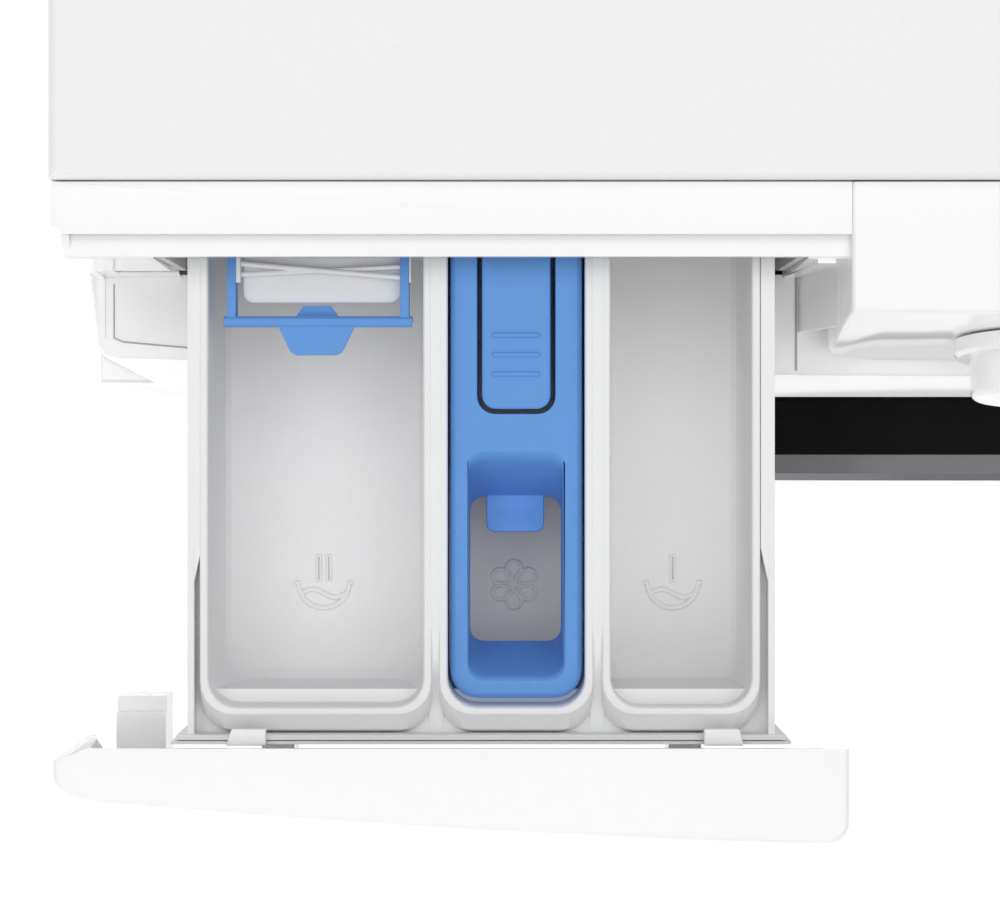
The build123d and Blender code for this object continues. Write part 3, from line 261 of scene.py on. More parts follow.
def make_finish(name, colour, shade, rough, grain, depth, patch=60.0, stretch=(1, 1, 1),
                cells=False, shader=()):
    """A surface whose colour and gloss drift over a patch's size, with a fine grain in relief."""
    material = bpy.data.materials.new(name.replace("_", " "))
    material.use_nodes = True
    tree = material.node_tree
    tree.nodes.clear()
    spot = add_node(tree, "TexCoord").outputs["Object"]
    drawn = add_node(tree, "Mapping", Vector=spot, Scale=stretch).outputs["Vector"]
    drift = add_node(tree, "TexNoise", Vector=spot, Scale=1 / (patch * MM), Detail=3.0).outputs["Fac"]
    if cells:
        relief = add_node(tree, "TexVoronoi", Vector=drawn, Scale=1 / (grain * MM)).outputs["Distance"]
    else:
        relief = add_node(tree, "TexNoise", Vector=drawn, Scale=1 / (grain * MM), Detail=2.0).outputs["Fac"]
    both = add_node(tree, "Math", {"operation": "MULTIPLY"}).outputs[0]
    tree.links.new(drift, both.node.inputs[0])
    tree.links.new(relief, both.node.inputs[1])
    tint = add_node(tree, "MapRange", Value=both, From_Min=0.1, From_Max=0.45).outputs["Result"]
    mixed = add_node(tree, "Mix", {"data_type": "RGBA"})
    tree.links.new(tint, mixed.inputs[0])
    mixed.inputs[6].default_value = linear(shade)
    mixed.inputs[7].default_value = linear(colour)
    gloss = add_node(tree, "MapRange", Value=drift, From_Min=0.3, From_Max=0.7,
                     To_Min=rough * 0.85, To_Max=min(1.0, rough * 1.15)).outputs["Result"]
    bump = add_node(tree, "Bump", Strength=0.6, Distance=depth * MM, Height=relief).outputs["Normal"]
    surface = add_node(tree, "BsdfPrincipled", Base_Color=mixed.outputs[2], Roughness=gloss, Normal=bump)
    for socket, value in dict(shader).items():
        surface.inputs[socket].default_value = value
    add_node(tree, "OutputMaterial", Surface=surface.outputs["BSDF"])
    return material


METAL = {"Metallic": 1.0}
GLOSS = {"IOR": 1.53, "Coat Weight": 0.25, "Coat Roughness": 0.05}

# name: colour, shade, roughness, grain size mm, grain height mm, then what differs.
FINISHES = {
    # powder enamel on sheet steel: glossy white with a faint orange peel
    "white_enamel": ("#F1F1F0", "#ECECEB", 0.24, 2.4, 0.02, 90, (1, 1, 1), False, {"IOR": 1.52}),
    # moulded worktop: satin white with a fine pebble
    "worktop_white": ("#F7F7F7", "#F3F3F3", 0.38, 0.9, 0.03, 120, (1, 1, 1), False, {"IOR": 1.5}),
    # high gloss ABS: the brightest white, with the slightest waviness
    "fascia_white": ("#FBFBFB", "#F9F9F9", 0.16, 6.0, 0.008, 80, (1, 1, 1), False, GLOSS),
    # moulded polypropylene: satin, a little translucent white
    "tray_white": ("#F6F6F6", "#F1F1F2", 0.55, 0.6, 0.012, 40, (1, 1, 1), False,
                   {"IOR": 1.49, "Specular IOR Level": 0.04, "Subsurface Weight": 0.05, "Subsurface Scale": 0.002}),
    # blue polypropylene: satin mid blue, paler where light grazes
    "insert_blue": ("#6AA1E5", "#659BDF", 0.5, 0.5, 0.015, 30, (1, 1, 1), False,
                    {"IOR": 1.49, "Specular IOR Level": 0.2}),
    # grey polypropylene inside the machine
    "housing_grey": ("#B9BBBC", "#AEB0B1", 0.5, 0.8, 0.03, 50, (1, 1, 1), False, {"IOR": 1.49}),
    # piano black ABS
    "door_black": ("#141415", "#111112", 0.3, 5.0, 0.006, 70, (1, 1, 1), False,
                   {"IOR": 1.45, "Specular IOR Level": 0.03}),
    # grey ABS with a satin metallic paint
    "ring_grey": ("#68696B", "#606163", 0.42, 0.25, 0.01, 30, (1, 1, 1), True,
                  {"IOR": 1.52, "Metallic": 0.25, "Coat Weight": 0.3, "Coat Roughness": 0.15}),
    # galvanised steel sheet: dull spangled metal
    "zinc_steel": ("#B4B8BB", "#9FA4A8", 0.42, 9.0, 0.01, 40, (1, 1, 1), True, METAL),
    # brushed stainless steel, with lines round the drum
    "stainless": ("#D4D5D6", "#BFC1C3", 0.26, 0.7, 0.008, 60, (0.05, 1, 0.05), False, METAL),
    # cast aluminium: pale matt metal with a sandy skin
    "cast_aluminium": ("#C6C7C9", "#ADAFB2", 0.46, 1.2, 0.08, 30, (1, 1, 1), False, METAL),
    # painted motor steel
    "motor_steel": ("#8E9092", "#7A7C7F", 0.38, 1.5, 0.02, 40, (1, 1, 1), False, METAL),
    # cast concrete: matt pale grey with sand and small pores
    "cast_weight": ("#A9A6A1", "#8C8985", 0.88, 2.2, 0.35, 25, (1, 1, 1), True, {"IOR": 1.52}),
    # filled polypropylene tub: matt grey with flow marks
    "tub_plastic": ("#C9CBCC", "#BCBFC0", 0.52, 1.6, 0.04, 70, (1, 1, 1), False, {"IOR": 1.49}),
    # EPDM rubber: soft matt grey
    "seal_rubber": ("#77797B", "#6B6D6F", 0.62, 0.4, 0.02, 30, (1, 1, 1), False,
                    {"IOR": 1.52, "Sheen Weight": 0.15}),
    # black EPDM hose
    "hose_rubber": ("#26272A", "#1D1E20", 0.6, 0.6, 0.03, 25, (1, 1, 1), False, {"IOR": 1.52}),
    # ribbed belt rubber: dusty black
    "belt_rubber": ("#232323", "#1A1A1A", 0.75, 0.5, 0.03, 15, (1, 1, 1), False, {"IOR": 1.52}),
    # green solder mask on glass epoxy
    "board_green": ("#1F6B44", "#175437", 0.3, 1.0, 0.02, 12, (1, 1, 1), True, {"IOR": 1.55}),
    # black nylon feet and glands
    "foot_black": ("#1E1F20", "#161718", 0.5, 0.5, 0.03, 20, (1, 1, 1), False, {"IOR": 1.53}),
    # pad printed ink: flat mid grey on the fascia
    "print_grey": ("#76787B", "#707275", 0.55, 0.3, 0.003, 10, (1, 1, 1), False, {"IOR": 1.5}),
    # lit figures of the display: a soft white glow
    "lit_white": ("#E8F2FF", "#DCEBFF", 0.5, 0.5, 0.002, 10, (1, 1, 1), False,
                  {"Emission Color": (0.8, 0.9, 1.0, 1.0), "Emission Strength": 1.2}),
    # smoked acrylic cover of the door: near black, mirror smooth
    "cover_smoke": ("#1B1C1E", "#17181A", 0.06, 8.0, 0.003, 90, (1, 1, 1), False,
                    {"IOR": 1.49, "Transmission Weight": 0.55}),
    # pressed glass bowl, faintly green
    "bowl_glass": ("#F2F8F5", "#EEF6F2", 0.03, 9.0, 0.01, 80, (1, 1, 1), False,
                   {"IOR": 1.52, "Transmission Weight": 1.0}),
    # smoked acrylic window of the display
    "window_smoke": ("#141517", "#111214", 0.08, 8.0, 0.002, 60, (1, 1, 1), False, {"IOR": 1.49}),
    # painted shade: near black for the dark recess behind the drum's holes
    "painted_hole_shade": ("#2B2C2E", "#222325", 0.7, 0.5, 0.005, 10, (1, 1, 1), False, {"IOR": 1.5}),
}

# Finish of each part carried over as it is.
CARRIED = {
    "white_enamel": ["side_panels", "front_panel", "kick_panel", "filter_flap"],
    "worktop_white": ["worktop"],
    "fascia_white": ["program_knob", "temperature_key", "spin_key"],
    "housing_grey": ["damper_cylinders", "drain_pump", "filter_cap", "drain_spigot"],
    "tray_white": ["inlet_valve"],
    "door_black": ["door_frame"],
    "ring_grey": ["door_ring", "door_handle", "start_button"],
    "zinc_steel": ["rear_panel", "rear_cover", "base_frame", "foot_nuts", "top_rails",
                   "hinge_bracket", "damper_rods"],
    "stainless": ["hinge_pin", "latch_hook", "drum_shell", "heater", "drum_bearings"],
    "cast_aluminium": ["hinge_arm", "drum_shaft", "drum_pulley"],
    "motor_steel": ["motor_body", "motor_pulley"],
    "cast_weight": ["front_counterweight", "top_counterweight"],
    "tub_plastic": ["tub_front", "tub_rear", "drum_lifters"],
    "hose_rubber": ["inner_hoses", "shaft_seal"],
    "belt_rubber": ["drive_belt"],
    "board_green": ["control_board"],
    "foot_black": ["feet", "cable_gland", "door_lock"],
    "cover_smoke": ["door_cover"],
    "bowl_glass": ["door_glass"],
}


# ------------------------------------------------------------------ settings
class WasherSizes(bpy.types.PropertyGroup):
    """Sizes of the visible details"""

    tray_depth: bpy.props.FloatProperty(
        name="Tray depth", description="Depth of the detergent compartments below their rim",
        default=59.5 * MM, unit="LENGTH")
    rim_width: bpy.props.FloatProperty(
        name="Rim width", description="Width of the rim round each compartment",
        default=2.6 * MM, unit="LENGTH")
    mark_radius: bpy.props.FloatProperty(
        name="Mark radius", description="Radius of the raised marks on the compartments' floors",
        default=0.8 * MM, unit="LENGTH")
    insert_gap: bpy.props.FloatProperty(
        name="Insert gap", description="Gap round the blue softener insert",
        default=0.8 * MM, unit="LENGTH")
    tongue_gap: bpy.props.FloatProperty(
        name="Tongue gap", description="Slot round the release tongue",
        default=1.3 * MM, unit="LENGTH")
    front_wall: bpy.props.FloatProperty(
        name="Front wall", description="Wall of the drawer's front",
        default=2.4 * MM, unit="LENGTH")
    spring_wire: bpy.props.FloatProperty(
        name="Spring wire", description="Radius of the suspension springs' wire",
        default=1.6 * MM, unit="LENGTH")


class WasherStage(bpy.types.PropertyGroup):
    """Light and floor round the machine"""

    floor_colour: bpy.props.FloatVectorProperty(
        name="Floor colour", description="Colour of the pale floor", size=4, subtype="COLOR",
        default=linear("#FFFFFF"), min=0.0, max=1.0)
    sky: bpy.props.FloatProperty(
        name="Sky", description="Strength of the even light from all sides", default=0.4, min=0.0)
    overhead: bpy.props.FloatProperty(
        name="Overhead", description="Strength of the soft light from above", default=1.5, min=0.0)
    lens: bpy.props.FloatProperty(
        name="Lens", description="Focal length of the camera in millimetres", default=122.4, min=1.0)


# ------------------------------------------------------------------ operators
class WASHER_OT_finishes(bpy.types.Operator):
    """Makes the materials and gives them to the parts that are carried over as they are"""

    bl_idname = "washer.finishes"
    bl_label = "Finishes"

    def execute(self, context):
        for name, (colour, shade, rough, grain, depth, *rest) in FINISHES.items():
            make_finish(name, colour, shade, rough, grain, depth, *rest)
        for finish, names in CARRIED.items():
            for name in names:
                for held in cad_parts[name].material_slots:
                    held.material = finish_of(finish)
        return {"FINISHED"}


def compartment(bm, x0, x1, front, rear, rim, low, drop, floor_front, out_left, out_right, skirt):
    """One detergent compartment: a closed cup with a rounded rim and a skirt sloping down in front."""
    inner, floor = 8.8, 6.0
    rows = [
        (x0 - out_left, x1 + out_right, front - 8.6, rear + 2, low - 2.4, 10.0, 3.0),
        (x0 - out_left, x1 + out_right, front - 8.6, rear + 2, rim - drop, 10.0, 3.0),
        (x0 - out_left, x1 + out_right, front - 7.2, rear + 2, rim - drop * 0.5, 10.0, 3.0),
        (x0 - out_left, x1 + out_right, front - skirt, rear + 2, rim - 0.9, 10.0, 3.0),
        (x0 - out_left + 0.3, x1 + out_right - 0.3, front - skirt + 0.4, rear + 1.7, rim - 0.25, 9.8, 2.8),
        (x0 - out_left + 1.0, x1 + out_right - 1.0, front - skirt + 1.1, rear + 1.0, rim, 9.4, 2.4),
        (x0 - 0.5, x1 + 0.5, front - 0.5, rear + 0.5, rim - 0.05, inner + 0.4, 3.4),
        (x0, x1, front, rear, rim - 0.7, inner, 3.0),
        (x0, x1, front + 0.4, rear, rim - 3, inner, 3.0),
        (x0 + 0.3, x1 - 0.3, floor_front - floor * 0.45, rear, low + floor, inner + 3, 3.0),
        (x0 + 0.8, x1 - 0.8, floor_front - floor * 0.15, rear - 0.4, low + floor * 0.45, inner + 3.4, 3.0),
        (x0 + 2.4, x1 - 2.4, floor_front + floor * 0.2, rear - 1.6, low + floor * 0.12, inner + 3, 3.0),
        (x0 + floor, x1 - floor, floor_front + floor * 0.8, rear - floor, low, inner, 3.0),
    ]
    loft(bm, rows)


def arc(cx, cy, z, radius, start, end, count, squeeze=1.0):
    """Points round an arc in plan, angles in degrees."""
    spots = []
    for step in range(count + 1):
        angle = radians(start + (end - start) * step / count)
        spots.append((cx + radius * cos(angle), cy + radius * squeeze * sin(angle), z))
    return spots


def wash_mark(bm, x, y, z, bars, radius):
    """Raised mark of a wash compartment: a bowl with water and one or two strokes over it."""
    tube_line(bm, [(x - 9.3, y, z), (x - 8.1, y, z)] + arc(x, y, z, 8.1, 180, 360, 18)
              + [(x + 9.3, y, z)], radius)
    wave = [(x + t, y - 3.4 + 1.3 * sin((t + 7) / 14 * 2 * pi), z) for t in range(-7, 8)]
    tube_line(bm, wave, radius)
    for offset in ((-1.6, 1.6) if bars == 2 else (0,)):
        tube_line(bm, [(x + offset - 0.55, y + 0.6, z), (x + offset - 0.55, y + 8.6, z),
                       (x + offset + 0.55, y + 8.6, z), (x + offset + 0.55, y + 0.6, z)],
                  radius * 0.75, closed=True)


class WASHER_OT_tray(bpy.types.Operator):
    """Builds the detergent tray with its three compartments, webs, front plate and raised marks"""

    bl_idname = "washer.tray"
    bl_label = "Detergent tray"

    def execute(self, context):
        sizes = context.scene.washer_sizes
        rim, low = TRAY_RIM, TRAY_RIM - sizes.tray_depth / MM
        band = sizes.rim_width / MM
        mark = sizes.mark_radius / MM
        bm = bmesh.new()
        rear = 115.0
        front = TRAY_FRONT + 11.1
        compartment(bm, -254.9, -190.0, front, rear, rim, low, 11, -93.0, band, band, band)
        compartment(bm, -182.6, -141.2, front, rear, rim, low, 11, -93.0, band, band, band)
        compartment(bm, -133.4, -90.8, front, rear, rim, low, 11, -98.0, band, band, band)
        # webs between the compartments, falling away towards the front plate
        fall = [(rear + 2, rim - 0.35), (-75, rim - 0.35), (-84, rim - 2.4), (-93, rim - 6.0),
                (-100, rim - 9.0), (TRAY_FRONT + 2.4, rim - 10.0), (TRAY_FRONT + 2.4, low - 2), (rear + 2, low - 2)]
        prism(bm, fall, "X", -188.5, -184.0)
        prism(bm, fall, "X", -139.5, -135.0)
        prism(bm, [(TRAY_FRONT + 2.4, rim - 10.0), (TRAY_FRONT + 16, rim - 10.0),
                   (TRAY_FRONT + 16, low - 2), (TRAY_FRONT + 2.4, low - 2)], "X", -259.4, -86.0)
        for side, x in ((-1, TRAY_LOW.x + 4.8), (1, TRAY_HIGH.x - 4.8)):
            inner = x - side * 4.2
            x0, x1 = sorted((x, x - side * 2.0))
            r0, r1 = sorted((x, inner))
            # side wall in front, and the runner ledge behind it
            prism(bm, [(TRAY_FRONT + 2, rim - 0.6), (-52, rim - 0.6), (-52, TRAY_LOW.z), (TRAY_FRONT + 2, TRAY_LOW.z)],
                  "X", x0, x1)
            prism(bm, [(x, -70), (x, rear + 4), (inner, rear + 4), (inner, -52), (x - side * 2.0, -62)],
                  "Z", TRAY_LOW.z + 31, rim - 0.9)
            prism(bm, [(TRAY_FRONT + 2, rim - 10.0), (-52, rim - 9.0), (-52, TRAY_LOW.z), (TRAY_FRONT + 2, TRAY_LOW.z)],
                  "X", r0, r1)
        # front plate, in two layers
        block(bm, TRAY_LOW.x, TRAY_HIGH.x, TRAY_FRONT, TRAY_FRONT + 1.0, TRAY_LOW.z, TRAY_HIGH.z - 0.5)
        block(bm, TRAY_LOW.x + 1.5, TRAY_HIGH.x - 1.5, TRAY_FRONT + 1.3, TRAY_FRONT + 2.8, TRAY_LOW.z, TRAY_HIGH.z)
        # raised marks on the floors
        wash_mark(bm, -223.0, -64.6, low + MARK_LIFT, 2, mark)
        wash_mark(bm, -111.7, -64.6, low + MARK_LIFT, 1, mark)
        for turn in range(6):
            angle = turn * 60 + 30
            axis_x, axis_y = cos(radians(angle)), sin(radians(angle))
            tip = (-162.3 + 1.6 * axis_x, -65.2 + 1.6 * axis_y)
            far = (-162.3 + 5.2 * axis_x, -65.2 + 5.2 * axis_y)
            petal = arc(far[0], far[1], low + MARK_LIFT, 2.3, angle - 115, angle + 115, 14)
            tube_line(bm, [(*tip, low + MARK_LIFT)] + petal, mark * 0.85, closed=True)
        piece(bm, "detergent_tray", "drawer", "tray_white", ["drawer_tray"], soften=0.35)

        # light plate and the loose slanted guides over the rear of the main compartment
        bm = bmesh.new()
        loft(bm, [(-245.2, -196.8, 22.5, 112, rim - 12, 3.2, 0.5), (-245.2, -196.8, 22.5, 112, rim - 10.6, 3.2, 0.5),
                  (-244.8, -197.2, 23.0, 111.6, rim - 10.2, 3.0, 0.5)])
        tube_line(bm, [(-246.5, 34.5, rim - 7.5), (-195.5, 30.0, rim - 6.5)], 0.9)
        tube_line(bm, [(-246.5, 31.0, rim - 8.0), (-195.5, 33.5, rim - 7.0)], 0.8)
        block(bm, -248.2, -245.6, 28.5, 36.5, rim - 9.6, rim - 5.2)
        block(bm, -196.4, -193.8, 28.5, 36.5, rim - 9.6, rim - 5.2)
        piece(bm, "powder_deflector", "drawer", "tray_white", soften=0.3)
        return {"FINISHED"}


class WASHER_OT_insert(bpy.types.Operator):
    """Builds the blue softener insert, its release tongue and the blue liquid flap"""

    bl_idname = "washer.insert"
    bl_label = "Blue insert, tongue and flap"

    def execute(self, context):
        sizes = context.scene.washer_sizes
        gap = sizes.insert_gap / MM
        slot = sizes.tongue_gap / MM
        rim = TRAY_RIM
        x0, x1 = -182.6 + gap, -141.2 - gap
        front, rear = TRAY_FRONT + 13.7, 114.2
        bm = bmesh.new()
        outer = [(x0 + 1, x1 - 1, front + 1, rear - 1, rim - 24, 8.0, 3.0),
                 (x0, x1, front, rear, rim - 3.2, 8.4, 3.4),
                 (x0 + 0.5, x1 - 0.5, front + 0.5, rear - 0.5, rim - 1.2, 8.2, 3.4),
                 (x0 + 1.6, x1 - 1.6, front + 1.6, rear - 1.6, rim + 0.1, 7.6, 3.0),
                 (x0 + 3.4, x1 - 3.4, front + 3.4, rear - 3.4, rim + 0.7, 6.4, 3.0),
                 (x0 + 5.2, x1 - 5.2, front + 5.2, rear - 5.2, rim + 0.9, 5.0, 3.0)]
        well = [(-176.0, -148.0, -81.2, -36.8, rim - 24, 4.2, 4.2),
                (-176.1, -147.9, -82.0, -36.2, rim - 22, 4.4, 4.4),
                (-176.2, -147.8, -89.8, -26.0, rim - 3, 4.6, 4.6),
                (-176.2, -147.8, -90.6, -24.6, rim - 0.6, 4.6, 4.6),
                (-176.7, -147.3, -91.3, -23.4, rim + 0.5, 4.9, 4.9),
                (-177.1, -146.9, -91.9, -22.8, rim + 0.9, 5.1, 5.1)]
        slot_rows = [(-173.5, -150.3, -11.2, 104, z, 5.2, 0.6) for z in (rim - 24, rim - 10)]
        slot_rows += [(-173.7, -150.1, -11.4, 104.2, rim + 0.6, 5.4, 0.8),
                      (-173.9, -149.9, -11.6, 104.4, rim + 0.9, 5.6, 0.8)]
        pierced(bm, outer, [well, slot_rows])
        # level mark on a tab over the well's floor
        loft(bm, [(-171.0, -153.2, -47.6, -34, rim - 24.2, 2.6, 0.4), (-171.0, -153.2, -47.6, -34, rim - 22.8, 2.6, 0.4),
                  (-170.7, -153.5, -47.3, -34, rim - 22.4, 2.4, 0.4)])
        lettering(bm, "MAX", 5.4, Matrix.Translation(place(-162.1, -42.6, rim - 22.3)), thick=0.25)
        piece(bm, "softener_insert", "drawer", "insert_blue", ["siphon_insert"])

        bm = bmesh.new()
        tx0, tx1, ty0 = -173.5 + slot, -150.3 - slot, -11.2 + slot
        loft(bm, [(tx0, tx1, ty0, 36.7, rim - 3, 4.2, 0.4), (tx0, tx1, ty0, 36.7, rim + 0.4, 4.2, 0.4),
                  (tx0 + 0.4, tx1 - 0.4, ty0 + 0.4, 36.4, rim + 0.8, 4.0, 0.4),
                  (tx0 + 0.9, tx1 - 0.9, ty0 + 0.9, 36.0, rim + 0.9, 3.6, 0.4)])
        for y in (0.6, 6.4, 12.3):
            loft(bm, [(-169.3, -154.6, y - 0.8, y + 0.8, rim + 0.6, 0.7, 0.7),
                      (-169.2, -154.7, y - 0.7, y + 0.7, rim + 1.2, 0.65, 0.65),
                      (-168.9, -155.0, y - 0.4, y + 0.4, rim + 1.5, 0.38, 0.38)])
        piece(bm, "tongue", "release_tongue", "insert_blue", ["release_tongue"])

        bm = bmesh.new()
        pin_z = rim - 8
        mid = -222.45
        bar = [(14.9, pin_z + 3.4), (15.6, pin_z + 4.2), (17.4, pin_z + 4.2), (18.3, pin_z + 3.2),
               (18.3, pin_z - 6), (16.9, pin_z - 6), (16.6, pin_z + 1.8), (14.9, pin_z + 1.8)]
        prism(bm, bar, "X", -250.6, -193.4)
        tab = [(mid - 11.8, 15.6), (mid - 8.4, 8.4), (mid - 7.6, 7.2), (mid - 6.0, 6.4), (mid + 6.0, 6.4),
               (mid + 7.6, 7.2), (mid + 8.4, 8.4), (mid + 11.8, 15.6)]
        prism(bm, tab, "Z", pin_z + 1.8, pin_z + 3.4)
        back = [(mid - 6.6, 18.2), (mid - 4.2, 21.6), (mid + 4.2, 21.6), (mid + 6.6, 18.2)]
        prism(bm, back, "Z", pin_z - 3.0, pin_z - 1.6)
        for x0, x1 in ((-249.6, -246.9), (-197.1, -194.4)):
            prism(bm, [(17.6, pin_z + 3.6), (60, pin_z + 3.0), (74.5, pin_z + 2.6), (74.5, pin_z - 2.6),
                       (60, pin_z - 3.0), (17.6, pin_z - 6)], "X", x0, x1)
            round_bar(bm, 3.2, (x0, 73.4, pin_z), (x1, 73.4, pin_z), 20)
        round_bar(bm, 1.5, (-257.0, 73.4, pin_z), (-248.0, 73.4, pin_z))
        round_bar(bm, 1.5, (-196.0, 73.4, pin_z), (-187.0, 73.4, pin_z))
        piece(bm, "detergent_flap", "liquid_flap", "insert_blue", ["liquid_flap"], soften=0.25)
        return {"FINISHED"}


def moulding(bm, x0, x1, z0, z1, back, wall, ends, foot_round=0.0, drawn_out=0.0, groove=None):
    """A hollow moulding, open behind, whose face takes the fascia's bow and lean."""
    nose = NOSE - drawn_out
    made = bmesh.new()
    block(made, x0, x1, nose, back, z0, z1)
    bmesh.ops.recalc_face_normals(made, faces=made.faces)

    def corner_edges(spot):
        """Edges whose ends both lie at the given X, Y or Z, where one is given."""
        at = place(*(0 if value is None else value for value in spot))
        return [e for e in made.edges if all(value is None or abs(v.co[i] - at[i]) < 1e-6
                                             for v in e.verts for i, value in enumerate(spot))]

    rounds = [((x0, nose, None), ends[0]), ((x1, nose, None), ends[1]), ((x0, None, z0), foot_round)]
    for spot, radius in rounds:
        if radius:
            bmesh.ops.bevel(made, geom=corner_edges(spot), offset=radius * MM, affect="EDGES",
                            segments=10, profile=0.5, material=-1)
    rear_y = place(0, back, 0).y
    rear_faces = [f for f in made.faces if all(abs(v.co.y - rear_y) < 1e-6 for v in f.verts)]
    bmesh.ops.delete(made, geom=rear_faces, context="FACES_ONLY")
    rims = [e for e in made.edges if not e.is_boundary and e.calc_face_angle(0.0) > radians(50)]
    bmesh.ops.bevel(made, geom=rims, offset=1.4 * MM, affect="EDGES", segments=3, profile=0.5, material=-1)
    # cuts that let the face take its bow, and the strip of the groove
    cuts = [((x0 + (x1 - x0) * step / 24, 0, 0), (1, 0, 0)) for step in range(1, 24)]
    cuts += [((0, 0, z), (0, 0, 1)) for z in groove or ()]
    for spot, normal in cuts:
        bmesh.ops.bisect_plane(made, geom=made.verts[:] + made.edges[:] + made.faces[:], dist=1e-7,
                               plane_co=place(*spot), plane_no=normal)
    if groove:
        low, high = groove[0] * MM, groove[1] * MM
        made.normal_update()
        strip = [f for f in made.faces if low < f.calc_center_median().z < high and abs(f.normal.y) > 0.9]
        sunk = bmesh.ops.extrude_face_region(made, geom=strip)["geom"]
        bmesh.ops.translate(made, verts=[v for v in sunk if isinstance(v, bmesh.types.BMVert)],
                            vec=(0, 0.9 * MM, 0))
        bmesh.ops.delete(made, geom=[f for f in strip if f.is_valid], context="FACES_ONLY")
    bmesh.ops.recalc_face_normals(made, faces=made.faces)
    bmesh.ops.solidify(made, geom=made.faces[:], thickness=wall * MM)
    for vert in made.verts:
        depth = (vert.co.y - FRONT) / MM
        share = min(1.0, max(0.0, (back - depth) / (back - nose)))
        vert.co.y += share * (face_depth(vert.co.x / MM, vert.co.z / MM) - NOSE) * MM
    merged = bpy.data.meshes.new("moulding")
    made.to_mesh(merged)
    made.free()
    bm.from_mesh(merged)
    bpy.data.meshes.remove(merged)


class WASHER_OT_drawer_front(bpy.types.Operator):
    """Builds the bowed drawer front with its rounded ends, groove, lug and clips"""

    bl_idname = "washer.drawer_front"
    bl_label = "Drawer front"

    def execute(self, context):
        wall = context.scene.washer_sizes.front_wall / MM
        back = TRAY_FRONT
        bm = bmesh.new()
        moulding(bm, -299.7, -63.0, 748.0, 840.7, back, wall, (13.0, 7.0), 0.0, 158.0, (765.2, 766.4))
        # the foot and the right end stop short of the top's back edge
        for vert in bm.verts:
            x, z = vert.co.x / MM, vert.co.z / MM
            if z < 751 and x > -296:
                vert.co.y = min(vert.co.y, place(0, back - 15.5, 0).y)
            elif x > -66:
                vert.co.y = min(vert.co.y, place(0, back - 15.5 * (840.7 - z) / 92, 0).y)
            elif x < -296:
                vert.co.y = min(vert.co.y, place(0, back - 3.6, 0).y)
            # the right end leans as the pocket's wall does
            if z < 804:
                vert.co.x -= 8.2 * MM * (804 - z) / 56 * min(1.0, max(0.0, (x + 76) / 10))
        # guide lug, and blocks that take the clips
        loft(bm, [(-287.5, -272.0, back - 14, back + 11, 756, 0.6, 0.6), (-287.5, -272.0, back - 14, back + 11, 776, 0.6, 0.6),
                  (-287.5, -272.0, back - 14, back + 6.2, 776, 0.6, 0.6), (-287.5, -272.0, back - 14, back + 6.2, 780, 0.6, 0.6)])
        for x in (TRAY_LOW.x + 30.8, TRAY_HIGH.x - 30.8):
            block(bm, x - 5, x + 5, back - 25, back - 0.1, 776, 802)
        piece(bm, "drawer_facing", "drawer", "fascia_white", ["drawer_front"], smooth=35)

        bm = bmesh.new()
        for outline in ([(-247.4, back + 5), (-237.0, back + 5), (-237.0, back), (-249.0, back)],
                        [(-105.6, back + 5), (-94.9, back + 5), (-93.7, back), (-105.6, back)]):
            prism(bm, outline, "Z", TRAY_HIGH.z, 830.5)
        piece(bm, "facing_clips", "drawer", "fascia_white", ["front_clips"], soften=0.5)
        return {"FINISHED"}


